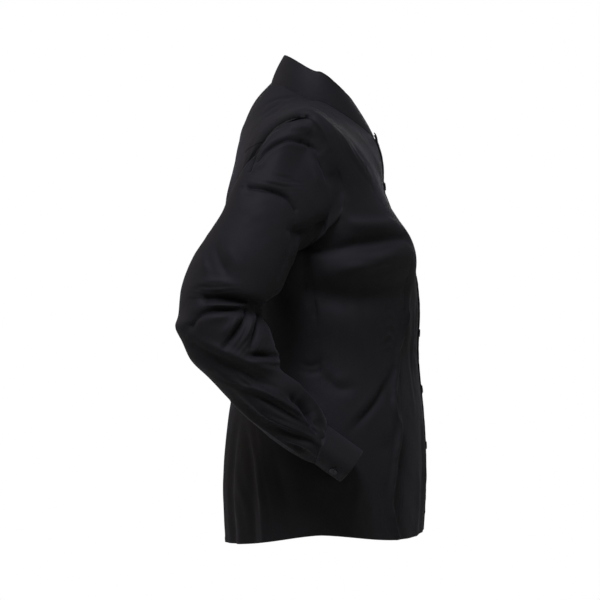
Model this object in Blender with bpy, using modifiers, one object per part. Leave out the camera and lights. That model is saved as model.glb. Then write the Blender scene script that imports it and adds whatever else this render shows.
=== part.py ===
"""Mandarin collar shirt: a woman's fitted long-sleeved shirt with princess seams, filled out as it is worn.

The front faces -Y, the wearer's left is +X and +Z is up. The origin is where the wearer holds the shirt up,
at the base of the neck between the shoulders. Tables are in millimetres and degrees, and everything built is
in metres. Every panel is a thin wall on one common body surface, which goes round by an angle, from 0 at the
centre front through 90 at the wearer's left side to 180 at the centre back, and up by a level, from the hem
to 0 at the neckline. The right half has negative angles, or those past 180.
"""

import bmesh
import bpy
import numpy as np
from mathutils import Vector

MM = 0.001
NAME = "mandarin_collar_shirt"

# Cloth thicknesses and the gap that parts neighbouring pieces
CLOTH = 1.5
BAND = 2.0
GAP = 0.3
SEAM_GAP = 0.4
SEAM_LIFT = 2 * GAP

# Colours, from the cloth's lit and shaded tones
POPLIN_BLACK = (0.010, 0.010, 0.012)
BUTTON_BLACK = (0.012, 0.012, 0.013)

# Front bands: the wearer's right one, the placket, laps over the left one. Each reaches this far past the
# centre, and the placket also covers a little of the right front.
BAND_HALF = 15.0
PLACKET_COVERS = 3.0
PLACKET_THICK = 1.9
BUTTON_PLACE_HALF = 5.8

# Buttons
BUTTON_RADIUS = 5.2
BUTTON_THICK = 1.7
BUTTON_RIM = 1.1
BUTTON_HOLLOW = 0.5
BUTTON_STEPS = 16
FRONT_BUTTONS = 7
ROWS_BETWEEN_BUTTONS = 3
CUFF_BUTTON_AT = 0.6
CUFF_BUTTON_CLOCK = 36.0

# Levels that the panels run between
HEM_LEVEL = -575.0
NECK_LEVEL = 0.0
HEM_DIP = 4.5
HEM_DIP_FROM = -420.0

# Levels at the centre back of the rows that reach the armpits and the tops of the armholes
ARMPIT_MIDDLE_LEVEL = -192.0
SHOULDER_MIDDLE_LEVEL = -92.0

# Collar band, whose front ends slant back from a small gap at the centre
COLLAR_END_X = 4.0
COLLAR_END_SLANT = 13.0
COLLAR_END_CURVE = 1.5
COLLAR_SWELL = 1.2

# The cuff's under end, how far its upper end laps past it, and the run over which that end rises
CUFF_UNDER_END = 12.0
CUFF_LAP = 50.0
CUFF_RISE_RUN = 40.0

# Grid steps
FRONT_EDGE_ROWS = 24
NECK_ROWS = 5
FRONT_ARMHOLE_ROWS = 10
SIDE_SEAM_ROWS = FRONT_EDGE_ROWS + NECK_ROWS - FRONT_ARMHOLE_ROWS
ARMHOLE_ROWS = 6
SHOULDER_ROWS = 4
CENTRE_COLUMNS = 7
SIDE_COLUMNS = 7
BACK_COLUMNS = 20
SLEEVE_HEAD_RINGS = 3
SLEEVE_HEAD_ROWS = 6
SLEEVE_ROWS = 20
SLEEVE_COLUMNS = 24
COLLAR_COLUMNS = 36
COLLAR_ROWS = 2
CUFF_COLUMNS = 26
CUFF_ROWS = 2
FOLD_STEPS = 12

# Small steps in each pair of surface values, for normals
BODY_STEPS = (0.4, 0.6)
TUBE_STEPS = (0.03, 1.0)
COLLAR_STEPS = (0.5, 0.02)

# Edges sharper than this stay crisp
SHARP_ANGLE = 40.0

# Body rings from the hem up to the neckline. Each ring has its front, side and back points, and how square
# its front and back quarters are, where 2 is an ellipse. The ridge rounds the top of its side points.
RING_RIDGE = 0.2
RING_COLUMNS = ("level", "front_y", "front_z", "side_x", "side_y", "side_z", "back_y", "back_z",
                "front_square", "back_square")
RINGS = (
    (-575.0, -157.0, -574.0, 199.0, -20.0, -563.0, 106.0, -586.0, 2.0, 2.3),
    (-500.0, -160.5, -500.0, 197.0, -22.0, -490.0, 109.0, -508.0, 2.0, 2.3),
    (-420.0, -158.0, -420.0, 184.0, -25.0, -412.0, 102.0, -422.0, 2.0, 2.3),
    (-345.0, -150.5, -345.0, 168.0, -27.0, -340.0, 90.0, -345.0, 2.0, 2.3),
    (-275.0, -151.0, -275.0, 175.0, -25.0, -272.0, 93.0, -272.0, 2.1, 2.4),
    (-205.0, -139.0, -212.0, 185.0, -18.0, -205.0, 105.0, -205.0, 2.3, 2.6),
    (-150.0, -118.0, -165.0, 184.0, -8.0, -125.0, 107.0, -150.0, 2.3, 2.7),
    (-95.0, -105.0, -122.0, 195.0, 0.0, -36.0, 95.0, -93.0, 2.2, 2.7),
    (-45.0, -103.0, -85.0, 130.0, -3.0, -19.0, 81.0, -32.0, 2.1, 2.4),
    (-18.0, -98.0, -64.0, 91.0, -8.0, -11.0, 64.0, 2.0, 2.0, 2.1),
    (0.0, -91.0, -49.0, 66.0, -12.0, -6.5, 44.0, 24.0, 2.0, 2.0),
)

# Top ring of the collar band
COLLAR_TOP = (0.0, -66.0, -4.0, 57.0, -17.0, 33.0, 28.0, 60.0, 2.0, 2.0)

# Bust fullness on each side, as a soft mound over the princess seam
BUST_ANGLE = 38.0
BUST_Z = -190.0
BUST_SPREAD_ANGLE = 24.0
BUST_SPREAD_UP = 42.0
BUST_SPREAD_DOWN = 60.0
BUST_HEIGHT = 23.0

# Princess seam, from the hem over the bust to the shoulder seam
PRINCESS_COLUMNS = ("level", "angle")
PRINCESS = (
    (-575.0, 44.0), (-500.0, 43.0), (-420.0, 42.0), (-345.0, 40.0), (-275.0, 38.0), (-205.0, 38.0),
    (-150.0, 40.0), (-95.0, 50.0), (-60.0, 67.0), (-40.0, 90.0),
)

# Armhole, clockwise round the left side from its top point by way of the back
ARMHOLE_COLUMNS = ("clock", "angle", "level")
ARMHOLE = (
    (0.0, 90.0, -96.0), (30.0, 106.0, -83.0), (60.0, 121.0, -95.0), (90.0, 131.0, -114.0),
    (120.0, 130.0, -142.0), (150.0, 118.0, -170.0), (180.0, 98.0, -186.0), (210.0, 84.0, -181.0),
    (240.0, 75.5, -166.0), (270.0, 72.5, -146.0), (300.0, 74.0, -126.0), (330.0, 80.0, -108.0),
)
ARMPIT_CLOCK = 186.0

# Sleeve rings below the armhole: the back and front points as seen from the side, then how far out the
# centre is, half the width across, and how much higher the outer point is than the centre
TUBE_COLUMNS = ("back_y", "back_z", "front_y", "front_z", "centre_x", "half_x", "outer_up")
SLEEVE_RINGS = (
    (76.0, -117.0, -42.0, -152.0, 201.0, 14.0, 62.0),
    (92.0, -140.0, -20.0, -178.0, 212.0, 30.0, 42.0),
    (106.0, -169.0, -2.0, -194.0, 220.0, 41.0, 30.0),
    (125.0, -195.0, 5.0, -212.0, 226.0, 47.0, 20.0),
    (142.5, -223.5, 14.0, -230.0, 232.0, 50.0, 12.0),
    (153.5, -257.0, 28.0, -256.0, 237.0, 51.0, 7.0),
    (156.5, -286.0, 43.0, -270.0, 241.0, 51.0, 3.0),
    (160.0, -301.0, 51.0, -280.0, 243.5, 50.0, 1.0),
    (152.0, -318.0, 48.0, -294.0, 245.0, 49.0, 0.0),
    (140.0, -342.0, 40.0, -314.0, 246.0, 47.0, 0.0),
    (118.0, -364.0, 33.0, -334.0, 246.0, 45.0, 0.0),
    (93.0, -391.0, 30.0, -355.0, 245.0, 43.5, 0.0),
    (60.0, -424.0, 0.0, -373.0, 243.0, 42.0, 0.0),
    (30.0, -448.0, -20.0, -392.0, 240.5, 41.0, 0.0),
    (4.0, -463.0, -26.0, -411.0, 238.5, 39.5, 0.0),
    (-12.2, -469.2, -26.9, -423.4, 237.2, 37.5, 0.0),
)

# Cuff rings, from the sleeve's end to the open end
CUFF_RINGS = (
    (-12.5, -469.5, -27.2, -423.7, 237.0, 37.8, 0.0),
    (-27.5, -480.8, -49.0, -439.5, 233.5, 38.3, 0.0),
    (-42.7, -491.5, -71.0, -455.7, 229.0, 38.8, 0.0),
)

# Folds lie on curves given by their start, middle and end as seen from the side. Heights are outward, so a
# trough has a negative one. Sides are 1 for the wearer's left, -1 for the right and 0 for both.
FOLD_COLUMNS = ("start_y", "start_z", "middle_y", "middle_z", "end_y", "end_z", "width", "height", "side")
BODY_FOLDS = (
    (-30.0, -172.0, -80.0, -178.0, -124.0, -186.0, 12.0, -4.5, 0),
    (-29.0, -212.0, -85.0, -196.0, -134.0, -190.0, 10.0, 3.0, 0),
    (-36.0, -250.0, -85.0, -247.0, -126.0, -252.0, 16.0, -4.0, 0),
    (-109.0, -370.0, -84.0, -404.0, -60.0, -436.0, 12.0, -4.0, -1),
    (-104.0, -352.0, -84.0, -392.0, -52.0, -420.0, 13.0, -3.5, 1),
    (-21.0, -360.0, -50.0, -381.0, -72.0, -380.0, 10.0, -2.5, 0),
    (84.0, -392.0, 86.0, -480.0, 62.0, -580.0, 13.0, -5.0, -1),
    (82.0, -400.0, 78.0, -480.0, 72.0, -580.0, 12.0, -4.5, 1),
    (66.0, -420.0, 52.0, -500.0, 22.0, -575.0, 14.0, -4.5, 0),
    (30.0, -440.0, 12.0, -500.0, -14.0, -560.0, 14.0, -3.0, 0),
    (80.0, -250.0, 76.0, -300.0, 52.0, -345.0, 13.0, -4.0, 0),
    (40.0, -330.0, 60.0, -350.0, 88.0, -352.0, 11.0, -3.0, 0),
)
SLEEVE_FOLDS = (
    (68.0, -130.0, 40.0, -130.0, 12.0, -152.0, 9.0, -3.5, 0),
    (112.0, -186.0, 90.0, -214.0, 96.0, -248.0, 12.0, -3.5, 0),
    (30.0, -178.0, 44.0, -205.0, 40.0, -240.0, 12.0, -3.5, 0),
    (128.0, -263.0, 94.0, -263.0, 56.0, -274.0, 9.0, -6.5, 0),
    (142.0, -302.0, 112.0, -280.0, 70.0, -281.0, 9.0, -5.0, 0),
    (66.0, -287.0, 84.0, -303.0, 102.0, -324.0, 9.0, -4.5, 0),
    (54.0, -291.0, 58.0, -306.0, 66.0, -324.0, 8.0, -4.0, 0),
    (74.0, -329.0, 56.0, -333.0, 38.0, -342.0, 8.0, -4.0, 0),
    (118.0, -340.0, 84.0, -354.0, 44.0, -372.0, 11.0, -4.0, 0),
    (52.0, -350.0, 12.0, -377.0, -20.0, -402.0, 10.0, -5.0, 0),
    (84.0, -386.0, 46.0, -412.0, 4.0, -438.0, 10.0, -3.5, 0),
)

# The inner side of a sleeve has the same folds, moved and softer, past a blend at its front and back lines
INNER_FOLD_SHIFT = (9.0, -11.0)
INNER_FOLD_SHARE = 0.7
INNER_FOLD_BLEND = 0.35
SLEEVE_PLAIN_START = 1.0
SLEEVE_PLAIN_END = 1.5

# The body's folds end near the centre front, the centre back and the neckline
FOLDS_FROM_X = 20.0
FOLDS_FULL_X = 60.0
FOLDS_FULL_LEVEL = -40.0

# The shallow groove along each princess seam, whose width is taken at the body's usual radius
SEAM_WIDTH = 3.5
SEAM_DEPTH = 0.8
SEAM_RADIUS = 150.0
SEAM_TOP_LEVEL = -40.0
SEAM_FULL_LEVEL = -80.0


def columns(names, rows):
    """A table's columns by name, as arrays."""
    return dict(zip(names, np.array(rows, float).T))


RING = columns(RING_COLUMNS, RINGS)
SLEEVE = columns(TUBE_COLUMNS, SLEEVE_RINGS)
CUFF = columns(TUBE_COLUMNS, CUFF_RINGS)
PRINCESS_LINE = columns(PRINCESS_COLUMNS, PRINCESS)
ARMHOLE_LINE = columns(ARMHOLE_COLUMNS, ARMHOLE)


def curve(at, knots, values):
    """A smooth curve through values at rising knots, read at any array of places."""
    knots, values = np.asarray(knots, float), np.asarray(values, float)
    slope = np.gradient(values, knots, axis=0)
    i = np.clip(np.searchsorted(knots, at) - 1, 0, len(knots) - 2)
    step = knots[i + 1] - knots[i]
    t = np.clip((at - knots[i]) / step, 0.0, 1.0)
    if values.ndim > 1:
        t, step = t[..., None], step[..., None]
    a, b = 2 * t**3 - 3 * t**2 + 1, t**3 - 2 * t**2 + t
    c, d = -2 * t**3 + 3 * t**2, t**3 - t**2
    return a * values[i] + b * step * slope[i] + c * values[i + 1] + d * step * slope[i + 1]


def closed_curve(at, knots, values, period):
    """The same round a closed loop."""
    knots, values = np.asarray(knots, float), np.asarray(values, float)
    knots = np.concatenate([knots[-2:] - period, knots, knots[:2] + period])
    values = np.concatenate([values[-2:], values, values[:2]])
    return curve(np.mod(at, period), knots, values)


def smooth(x, low, high):
    """0 below low and 1 above high, with a soft step between them."""
    t = np.clip((x - low) / (high - low), 0.0, 1.0)
    return t * t * (3 - 2 * t)


def bezier(start, middle, end):
    """Points of a curve from start to end that passes through middle."""
    t = np.linspace(0, 1, FOLD_STEPS + 1)[:, None]
    start, middle, end = (np.array(p, float) for p in (start, middle, end))
    pull = 2 * middle - (start + end) / 2
    return (1 - t) ** 2 * start + 2 * t * (1 - t) * pull + t**2 * end


def fold_height(y, z, side, folds):
    """How far the folds move the cloth outward at places seen from the side, in millimetres."""
    total = np.zeros(np.shape(y))
    for row in folds:
        fold = dict(zip(FOLD_COLUMNS, row))
        if fold["side"] not in (0, side):
            continue
        path = bezier((fold["start_y"], fold["start_z"]), (fold["middle_y"], fold["middle_z"]),
                      (fold["end_y"], fold["end_z"]))
        nearest = np.full(np.shape(y), np.inf)
        along = np.zeros(np.shape(y))
        for k, (a, b) in enumerate(zip(path[:-1], path[1:])):
            d = b - a
            t = np.clip(((y - a[0]) * d[0] + (z - a[1]) * d[1]) / (d @ d), 0, 1)
            away = np.hypot(y - a[0] - t * d[0], z - a[1] - t * d[1])
            along = np.where(away < nearest, (k + t) / (len(path) - 1), along)
            nearest = np.minimum(nearest, away)
        q = (nearest / fold["width"]) ** 2
        total += fold["height"] * (1 - 0.5 * q) * np.exp(-q) * (1 - np.abs(2 * along - 1) ** 3)
    return total


def ring_point(ring, angle):
    """A point on a body ring, in millimetres. The ring's values and the angle are arrays of one shape."""
    turn = np.radians(angle)
    front = np.cos(turn) >= 0
    square = np.where(front, ring["front_square"], ring["back_square"])
    across = np.abs(np.sin(turn)) ** (2 / square)
    along = np.abs(np.cos(turn)) ** (2 / square)
    fall = np.hypot(along, RING_RIDGE) - RING_RIDGE
    fall /= np.hypot(1.0, RING_RIDGE) - RING_RIDGE
    end_y = np.where(front, ring["front_y"], ring["back_y"])
    end_z = np.where(front, ring["front_z"], ring["back_z"])
    x = np.sign(np.sin(turn)) * ring["side_x"] * across
    y = ring["side_y"] + (end_y - ring["side_y"]) * along
    z = ring["side_z"] + (end_z - ring["side_z"]) * fall
    return np.stack([x, y, z], -1)


def from_front(angle):
    """How far round from the centre front an angle is, on either side."""
    return np.abs(np.mod(angle + 180.0, 360.0) - 180.0)


def plain_body(angle, level):
    """The body surface without folds."""
    ring = {name: curve(level, RING["level"], RING[name]) for name in RING_COLUMNS[1:]}
    p = ring_point(ring, angle)
    away = from_front(angle)
    quarter = np.sin(2 * np.radians(away)) ** 2 * (away < 90)
    p[..., 2] -= HEM_DIP * quarter * smooth(-level, -HEM_DIP_FROM, -HEM_LEVEL)
    below = p[..., 2] < BUST_Z
    spread_z = np.where(below, BUST_SPREAD_DOWN, BUST_SPREAD_UP)
    mound = ((away - BUST_ANGLE) / BUST_SPREAD_ANGLE) ** 2 + ((p[..., 2] - BUST_Z) / spread_z) ** 2
    p[..., 1] -= BUST_HEIGHT * np.exp(-mound)
    return p


def normal_of(surface, a, b, steps):
    """Unit normals of a surface at a grid of its two values."""
    step_a, step_b = steps
    da = surface(a + step_a, b) - surface(a - step_a, b)
    db = surface(a, b + step_b) - surface(a, b - step_b)
    n = np.cross(da, db)
    return n / np.maximum(np.linalg.norm(n, axis=-1, keepdims=True), 1e-9)


def princess_angle(level):
    return curve(level, PRINCESS_LINE["level"], PRINCESS_LINE["angle"])


def seam_dent(angle, level):
    """The shallow groove that a stitched princess seam pulls into the cloth."""
    width = np.degrees(SEAM_WIDTH / SEAM_RADIUS)
    away = (from_front(angle) - princess_angle(np.minimum(level, SEAM_TOP_LEVEL))) / width
    return -SEAM_DEPTH * np.exp(-away**2) * smooth(-level, -SEAM_TOP_LEVEL, -SEAM_FULL_LEVEL)


def body(angle, level):
    """The cloth's outer surface on the body, folds included, in millimetres."""
    p = plain_body(angle, level)
    n = normal_of(plain_body, angle, level, BODY_STEPS)
    side = np.where(p[..., 0] < 0, -1, 1)
    height = np.zeros(p.shape[:-1])
    for which in (-1, 1):
        height = np.where(side == which, fold_height(p[..., 1], p[..., 2], which, BODY_FOLDS), height)
    height *= smooth(np.abs(p[..., 0]), FOLDS_FROM_X, FOLDS_FULL_X) * smooth(-level, 0, -FOLDS_FULL_LEVEL)
    height += seam_dent(angle, level)
    return p + n * height[..., None]


def body_normal(angle, level):
    return normal_of(body, angle, level, BODY_STEPS)


def armhole(clock, side):
    """Angle and level of the armhole's edge at a place round it."""
    angle = closed_curve(clock, ARMHOLE_LINE["clock"], ARMHOLE_LINE["angle"], 360.0)
    level = closed_curve(clock, ARMHOLE_LINE["clock"], ARMHOLE_LINE["level"], 360.0)
    return angle * side, level


def tube_point(rows, at, clock, side):
    """A point on the sleeve's or cuff's rings, where at counts rings and clock is 0 at the outer side."""
    knots = np.arange(len(rows["half_x"]), dtype=float)
    row = {name: curve(at, knots, rows[name]) for name in rows}
    turn = np.radians(clock)
    x = row["centre_x"] + row["half_x"] * np.cos(turn)
    y = (row["back_y"] + row["front_y"]) / 2 + (row["back_y"] - row["front_y"]) / 2 * np.sin(turn)
    z = (row["back_z"] + row["front_z"]) / 2 + (row["back_z"] - row["front_z"]) / 2 * np.sin(turn)
    return np.stack([x * side, y, z + row["outer_up"] * np.cos(turn)], -1)


def sleeve_head(clock, side):
    """The sleeve's first ring, sewn on the armhole's edge and clear of the body's cloth."""
    angle, level = armhole(clock, side)
    return body(angle, level) + body_normal(angle, level) * (SEAM_LIFT + CLOTH)


def plain_sleeve(at, clock, side):
    """The sleeve without folds. at is 0 at the armhole and counts the rings from there."""
    knots = np.arange(len(SLEEVE_RINGS) + 1, dtype=float)
    rings = [sleeve_head(clock, side)]
    rings += [tube_point(SLEEVE, np.full(clock.shape, k - 1.0), clock, side) for k in knots[1:]]
    i = np.clip(np.floor(at).astype(int), 0, len(knots) - 2)
    t = (np.clip(at, 0, knots[-1]) - i)[..., None]
    stack = np.array(rings)
    slope = np.gradient(stack, axis=0)
    pick = lambda grid, k: np.take_along_axis(grid, k[None, ..., None], 0)[0]
    a, b = 2 * t**3 - 3 * t**2 + 1, t**3 - 2 * t**2 + t
    c, d = -2 * t**3 + 3 * t**2, t**3 - t**2
    return a * pick(stack, i) + b * pick(slope, i) + c * pick(stack, i + 1) + d * pick(slope, i + 1)


def sleeve(at, clock, side):
    """The sleeve's outer surface with its folds, in millimetres."""
    surface = lambda a, c: plain_sleeve(a, c, side)
    p = surface(at, clock)
    n = normal_of(surface, at, clock, TUBE_STEPS) * side
    outer = smooth(np.cos(np.radians(clock)), -INNER_FOLD_BLEND, INNER_FOLD_BLEND)
    shift_y, shift_z = INNER_FOLD_SHIFT
    height = outer * fold_height(p[..., 1], p[..., 2], side, SLEEVE_FOLDS)
    inner = fold_height(p[..., 1] + shift_y, p[..., 2] + shift_z, side, SLEEVE_FOLDS)
    height += (1 - outer) * INNER_FOLD_SHARE * inner
    last = len(SLEEVE_RINGS)
    height *= smooth(at, 0, SLEEVE_PLAIN_START) * smooth(last - at, 0, SLEEVE_PLAIN_END)
    return p + n * height[..., None]


def material(name, colour, roughness, sheen):
    """A matt finish in one colour."""
    made = bpy.data.materials.new(name)
    made.use_nodes = True
    shader = made.node_tree.nodes["Principled BSDF"]
    shader.inputs["Base Color"].default_value = (*colour, 1.0)
    shader.inputs["Roughness"].default_value = roughness
    shader.inputs["Metallic"].default_value = 0.0
    shader.inputs["Sheen Weight"].default_value = sheen
    made.diffuse_color = (*colour, 1.0)
    return made


def wall(name, outer, inner, finish, place, closed=False):
    """A closed solid between two grids of points in millimetres. A closed one joins its first and last
    columns, as a tube does."""
    rows, cols = outer.shape[:2]
    bm = bmesh.new()
    skins = [[[bm.verts.new(p * MM) for p in row] for row in grid] for grid in (outer, inner)]
    ends = cols if closed else cols - 1
    for skin in skins:
        for r in range(rows - 1):
            for c in range(ends):
                n = (c + 1) % cols
                bm.faces.new((skin[r][c], skin[r][n], skin[r + 1][n], skin[r + 1][c]))
    top, bottom = skins
    for r in (0, rows - 1):
        for c in range(ends):
            n = (c + 1) % cols
            bm.faces.new((top[r][c], top[r][n], bottom[r][n], bottom[r][c]))
    if not closed:
        for c in (0, cols - 1):
            for r in range(rows - 1):
                bm.faces.new((top[r][c], top[r + 1][c], bottom[r + 1][c], bottom[r][c]))
    bmesh.ops.recalc_face_normals(bm, faces=bm.faces)
    mesh = bpy.data.meshes.new(name)
    bm.to_mesh(mesh)
    bm.free()
    mesh.shade_smooth()
    mesh.set_sharp_from_angle(angle=np.radians(SHARP_ANGLE))
    return add(name, mesh, finish, place)


def add(name, mesh, finish, place):
    """A mesh as a named object in the shirt's collection, held by its empty."""
    made = bpy.data.objects.new(name, mesh)
    mesh.materials.append(finish)
    place["collection"].objects.link(made)
    made.parent = place["empty"]
    return made


def edge_angle(x, level):
    """The angle at which the front reaches a distance from the centre."""
    side_x = curve(level, RING["level"], RING["side_x"])
    square = curve(level, RING["level"], RING["front_square"])
    return np.sign(x) * np.degrees(np.arcsin((np.abs(x) / side_x) ** (square / 2)))


def side_seam(count):
    """Rows of angle and level up the left side seam, from the hem to the armpit."""
    angle, level = armhole(np.array([ARMPIT_CLOCK]), 1)
    up = np.linspace(HEM_LEVEL, level[0], count)
    return np.stack([90.0 + (angle[0] - 90.0) * smooth(up, HEM_LEVEL, level[0]), up], -1)


def armhole_run(last, count):
    """Rows of angle and level from just past the armpit, up one edge of the armhole, to its top."""
    angle, level = armhole(np.linspace(ARMPIT_CLOCK, last, count + 1)[1:], 1)
    return np.stack([angle, level], -1)


def shoulder_run(low, count):
    """Rows up the shoulder seam, from past a level to the neckline."""
    level = np.linspace(low, NECK_LEVEL, count + 1)[1:]
    return np.stack([np.full(count, 90.0), level], -1)


def princess_run(count):
    """Rows up the princess seam, from the hem to the shoulder seam."""
    line = np.stack([PRINCESS_LINE["angle"], PRINCESS_LINE["level"]], -1)
    return curve(np.linspace(0, len(line) - 1, count), np.arange(len(line)), line)


def front_levels():
    return np.linspace(HEM_LEVEL, NECK_LEVEL, FRONT_EDGE_ROWS)


def front_edge_run():
    """Rows up the front's own edge beside the band, then along the neckline to the shoulder seam."""
    level = front_levels()
    up = np.stack([edge_angle(BAND_HALF, level), level], -1)
    angle = np.linspace(up[-1, 0], 90.0, NECK_ROWS + 1)[1:]
    return np.concatenate([up, np.stack([angle, np.full(NECK_ROWS, NECK_LEVEL)], -1)])


def across(first, last, count):
    """A grid of angle and level whose rows run from one edge's points to the other's."""
    t = np.linspace(0, 1, count + 1)[None, :, None]
    return first[:, None, :] * (1 - t) + last[:, None, :] * t


def pulled_in(grid, free=()):
    """A panel's points with the edges that are seams moved in by half of a gap."""
    made = grid.copy()
    for edge, here, inside in (("bottom", np.s_[0], np.s_[1]), ("top", np.s_[-1], np.s_[-2]),
                               ("first", np.s_[:, 0], np.s_[:, 1]), ("last", np.s_[:, -1], np.s_[:, -2])):
        if edge not in free:
            step = grid[inside] - grid[here]
            length = np.maximum(np.linalg.norm(step, axis=-1, keepdims=True), 1e-6)
            made[here] += step / length * SEAM_GAP / 2
    return made


def panel(name, grid, side, finish, place, lift=0.0, thick=CLOTH, free=("bottom",)):
    """A wall on the body surface over a grid of angles and levels, its outside raised by lift."""
    angle, level = grid[..., 0] * side, grid[..., 1]
    p, n = body(angle, level), body_normal(angle, level)
    wall(name, pulled_in(p + n * lift, free), pulled_in(p + n * (lift - thick), free), finish, place)


def back(finish, place):
    """The back, whose rows run from side seam to side seam, armhole to armhole, shoulder to shoulder."""
    low, arm = side_seam(SIDE_SEAM_ROWS), armhole_run(0.0, ARMHOLE_ROWS)
    left = np.concatenate([low, arm, shoulder_run(arm[-1, 1], SHOULDER_ROWS)])
    right = np.stack([360.0 - left[:, 0], left[:, 1]], -1)
    grid = across(left, right, BACK_COLUMNS)
    middle = np.interp(np.arange(len(left)), np.cumsum([0, SIDE_SEAM_ROWS - 1, ARMHOLE_ROWS, SHOULDER_ROWS]),
                       [HEM_LEVEL, ARMPIT_MIDDLE_LEVEL, SHOULDER_MIDDLE_LEVEL, NECK_LEVEL])
    blend = 1 - smooth(np.abs(np.linspace(-1, 1, BACK_COLUMNS + 1)), 0.1, 1.0)[None, :]
    grid[..., 1] = grid[..., 1] * (1 - blend) + middle[:, None] * blend
    panel("back", grid, 1, finish, place)


def side_front(name, side, finish, place):
    """Side front, from the princess seam to the side seam and the front half of the armhole."""
    outer = np.concatenate([side_seam(SIDE_SEAM_ROWS), armhole_run(360.0, FRONT_ARMHOLE_ROWS)])
    grid = across(princess_run(len(outer)), outer, SIDE_COLUMNS)
    panel(name, grid, side, finish, place)


def centre_front(name, side, finish, place):
    """Centre front, from its band to the princess seam."""
    edge = front_edge_run()
    panel(name, across(edge, princess_run(len(edge)), CENTRE_COLUMNS), side, finish, place)


def front_band(name, first_x, last_x, lift, thick, finish, place):
    """A band down the front. It is flat across its middle, where the buttons are."""
    level = front_levels()
    places = (first_x, -BUTTON_PLACE_HALF, BUTTON_PLACE_HALF, last_x)
    grid = np.stack([np.stack([edge_angle(x, level), level], -1) for x in places], 1)
    panel(name, grid, 1, finish, place, lift, thick)


def collar_point(angle, rise):
    """The collar band's outer surface, where rise is 0 on the neckline and 1 at the top edge."""
    level = np.full(angle.shape, NECK_LEVEL)
    low = body(angle, level) + body_normal(angle, level) * GAP
    top = ring_point(dict(zip(RING_COLUMNS, COLLAR_TOP)), angle)
    up = top - low
    low = low + up / np.linalg.norm(up, axis=-1, keepdims=True) * SEAM_LIFT
    swell = COLLAR_SWELL * 4 * rise * (1 - rise)
    out = np.stack([np.sin(np.radians(angle)), -np.cos(np.radians(angle)), np.zeros(angle.shape)], -1)
    return low + (top - low) * rise[..., None] + out * swell[..., None]


def collar(finish, place):
    """The stand-up band, from its right end round the back to its left end."""
    rise = np.linspace(0, 1, COLLAR_ROWS + 1)[:, None]
    end = edge_angle(COLLAR_END_X, np.array([NECK_LEVEL])) + COLLAR_END_SLANT * rise**COLLAR_END_CURVE
    t = np.linspace(0, 1, COLLAR_COLUMNS + 1)[None, :]
    angle = end + (360.0 - 2 * end) * t
    rise = np.broadcast_to(rise, angle.shape)
    p = collar_point(angle, rise)
    n = normal_of(collar_point, angle, rise, COLLAR_STEPS)
    wall("collar", p, p - n * BAND, finish, place)


def sleeve_wall(name, side, finish, place):
    """A hollow sleeve from the armhole to the cuff."""
    head = np.linspace(0, SLEEVE_HEAD_RINGS, SLEEVE_HEAD_ROWS + 1)[:-1]
    rest = np.linspace(SLEEVE_HEAD_RINGS, len(SLEEVE_RINGS), SLEEVE_ROWS + 1)
    at = np.concatenate([head, rest])[:, None]
    clock = np.linspace(0, 360, SLEEVE_COLUMNS + 1)[None, :-1]
    at, clock = (np.broadcast_to(v, (at.shape[0], clock.shape[1])).copy() for v in (at, clock))
    p = sleeve(at, clock, side)
    n = normal_of(lambda a, c: sleeve(a, c, side), at, clock, TUBE_STEPS) * side
    wall(name, p, p - n * CLOTH, finish, place, closed=True)


def cuff_point(at, clock, side):
    """The cuff's outer surface. Its upper end rises off the under end past one full turn."""
    p = tube_point(CUFF, at, clock, side)
    n = normal_of(lambda a, c: tube_point(CUFF, a, c, side), at, clock, TUBE_STEPS) * side
    lap = CUFF_UNDER_END + 360
    rise = (BAND + GAP) * smooth(clock, lap - CUFF_RISE_RUN, lap - 1)
    return p + n * rise[..., None]


def cuff(name, side, finish, place):
    """A cuff, wound once round with its ends lapped."""
    clock = np.linspace(CUFF_UNDER_END, CUFF_UNDER_END + 360 + CUFF_LAP, CUFF_COLUMNS + 1)[None, :]
    at = np.linspace(0, len(CUFF_RINGS) - 1, CUFF_ROWS + 1)[:, None]
    at, clock = (np.broadcast_to(v, (at.shape[0], clock.shape[1])).copy() for v in (at, clock))
    p = cuff_point(at, clock, side)
    n = normal_of(lambda a, c: cuff_point(a, c, side), at, clock, TUBE_STEPS) * side
    wall(name, p, p - n * BAND, finish, place)


def button(name, point, normal, finish, place):
    """A round shirt button with a raised rim, turned about its own axis and set on the cloth."""
    profile = (
        (0.0, BUTTON_THICK - BUTTON_HOLLOW), (BUTTON_RADIUS - BUTTON_RIM, BUTTON_THICK - BUTTON_HOLLOW),
        (BUTTON_RADIUS - BUTTON_RIM / 2, BUTTON_THICK), (BUTTON_RADIUS, BUTTON_THICK - BUTTON_HOLLOW),
        (BUTTON_RADIUS - BUTTON_RIM / 2, 0.0), (0.0, 0.0),
    )
    mesh = bpy.data.meshes.new(name)
    mesh.from_pydata([(r * MM, 0.0, z * MM) for r, z in profile], [(i, i + 1) for i in range(5)], [])
    made = add(name, mesh, finish, place)
    turn = made.modifiers.new("Turn", "SCREW")
    turn.axis = "Z"
    turn.steps = turn.render_steps = BUTTON_STEPS
    turn.use_merge_vertices = True
    turn.merge_threshold = 0.0001
    made.location = [float(v) * MM for v in point + normal * GAP]
    made.rotation_euler = Vector([float(v) for v in normal]).to_track_quat("Z", "Y").to_euler()


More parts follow.
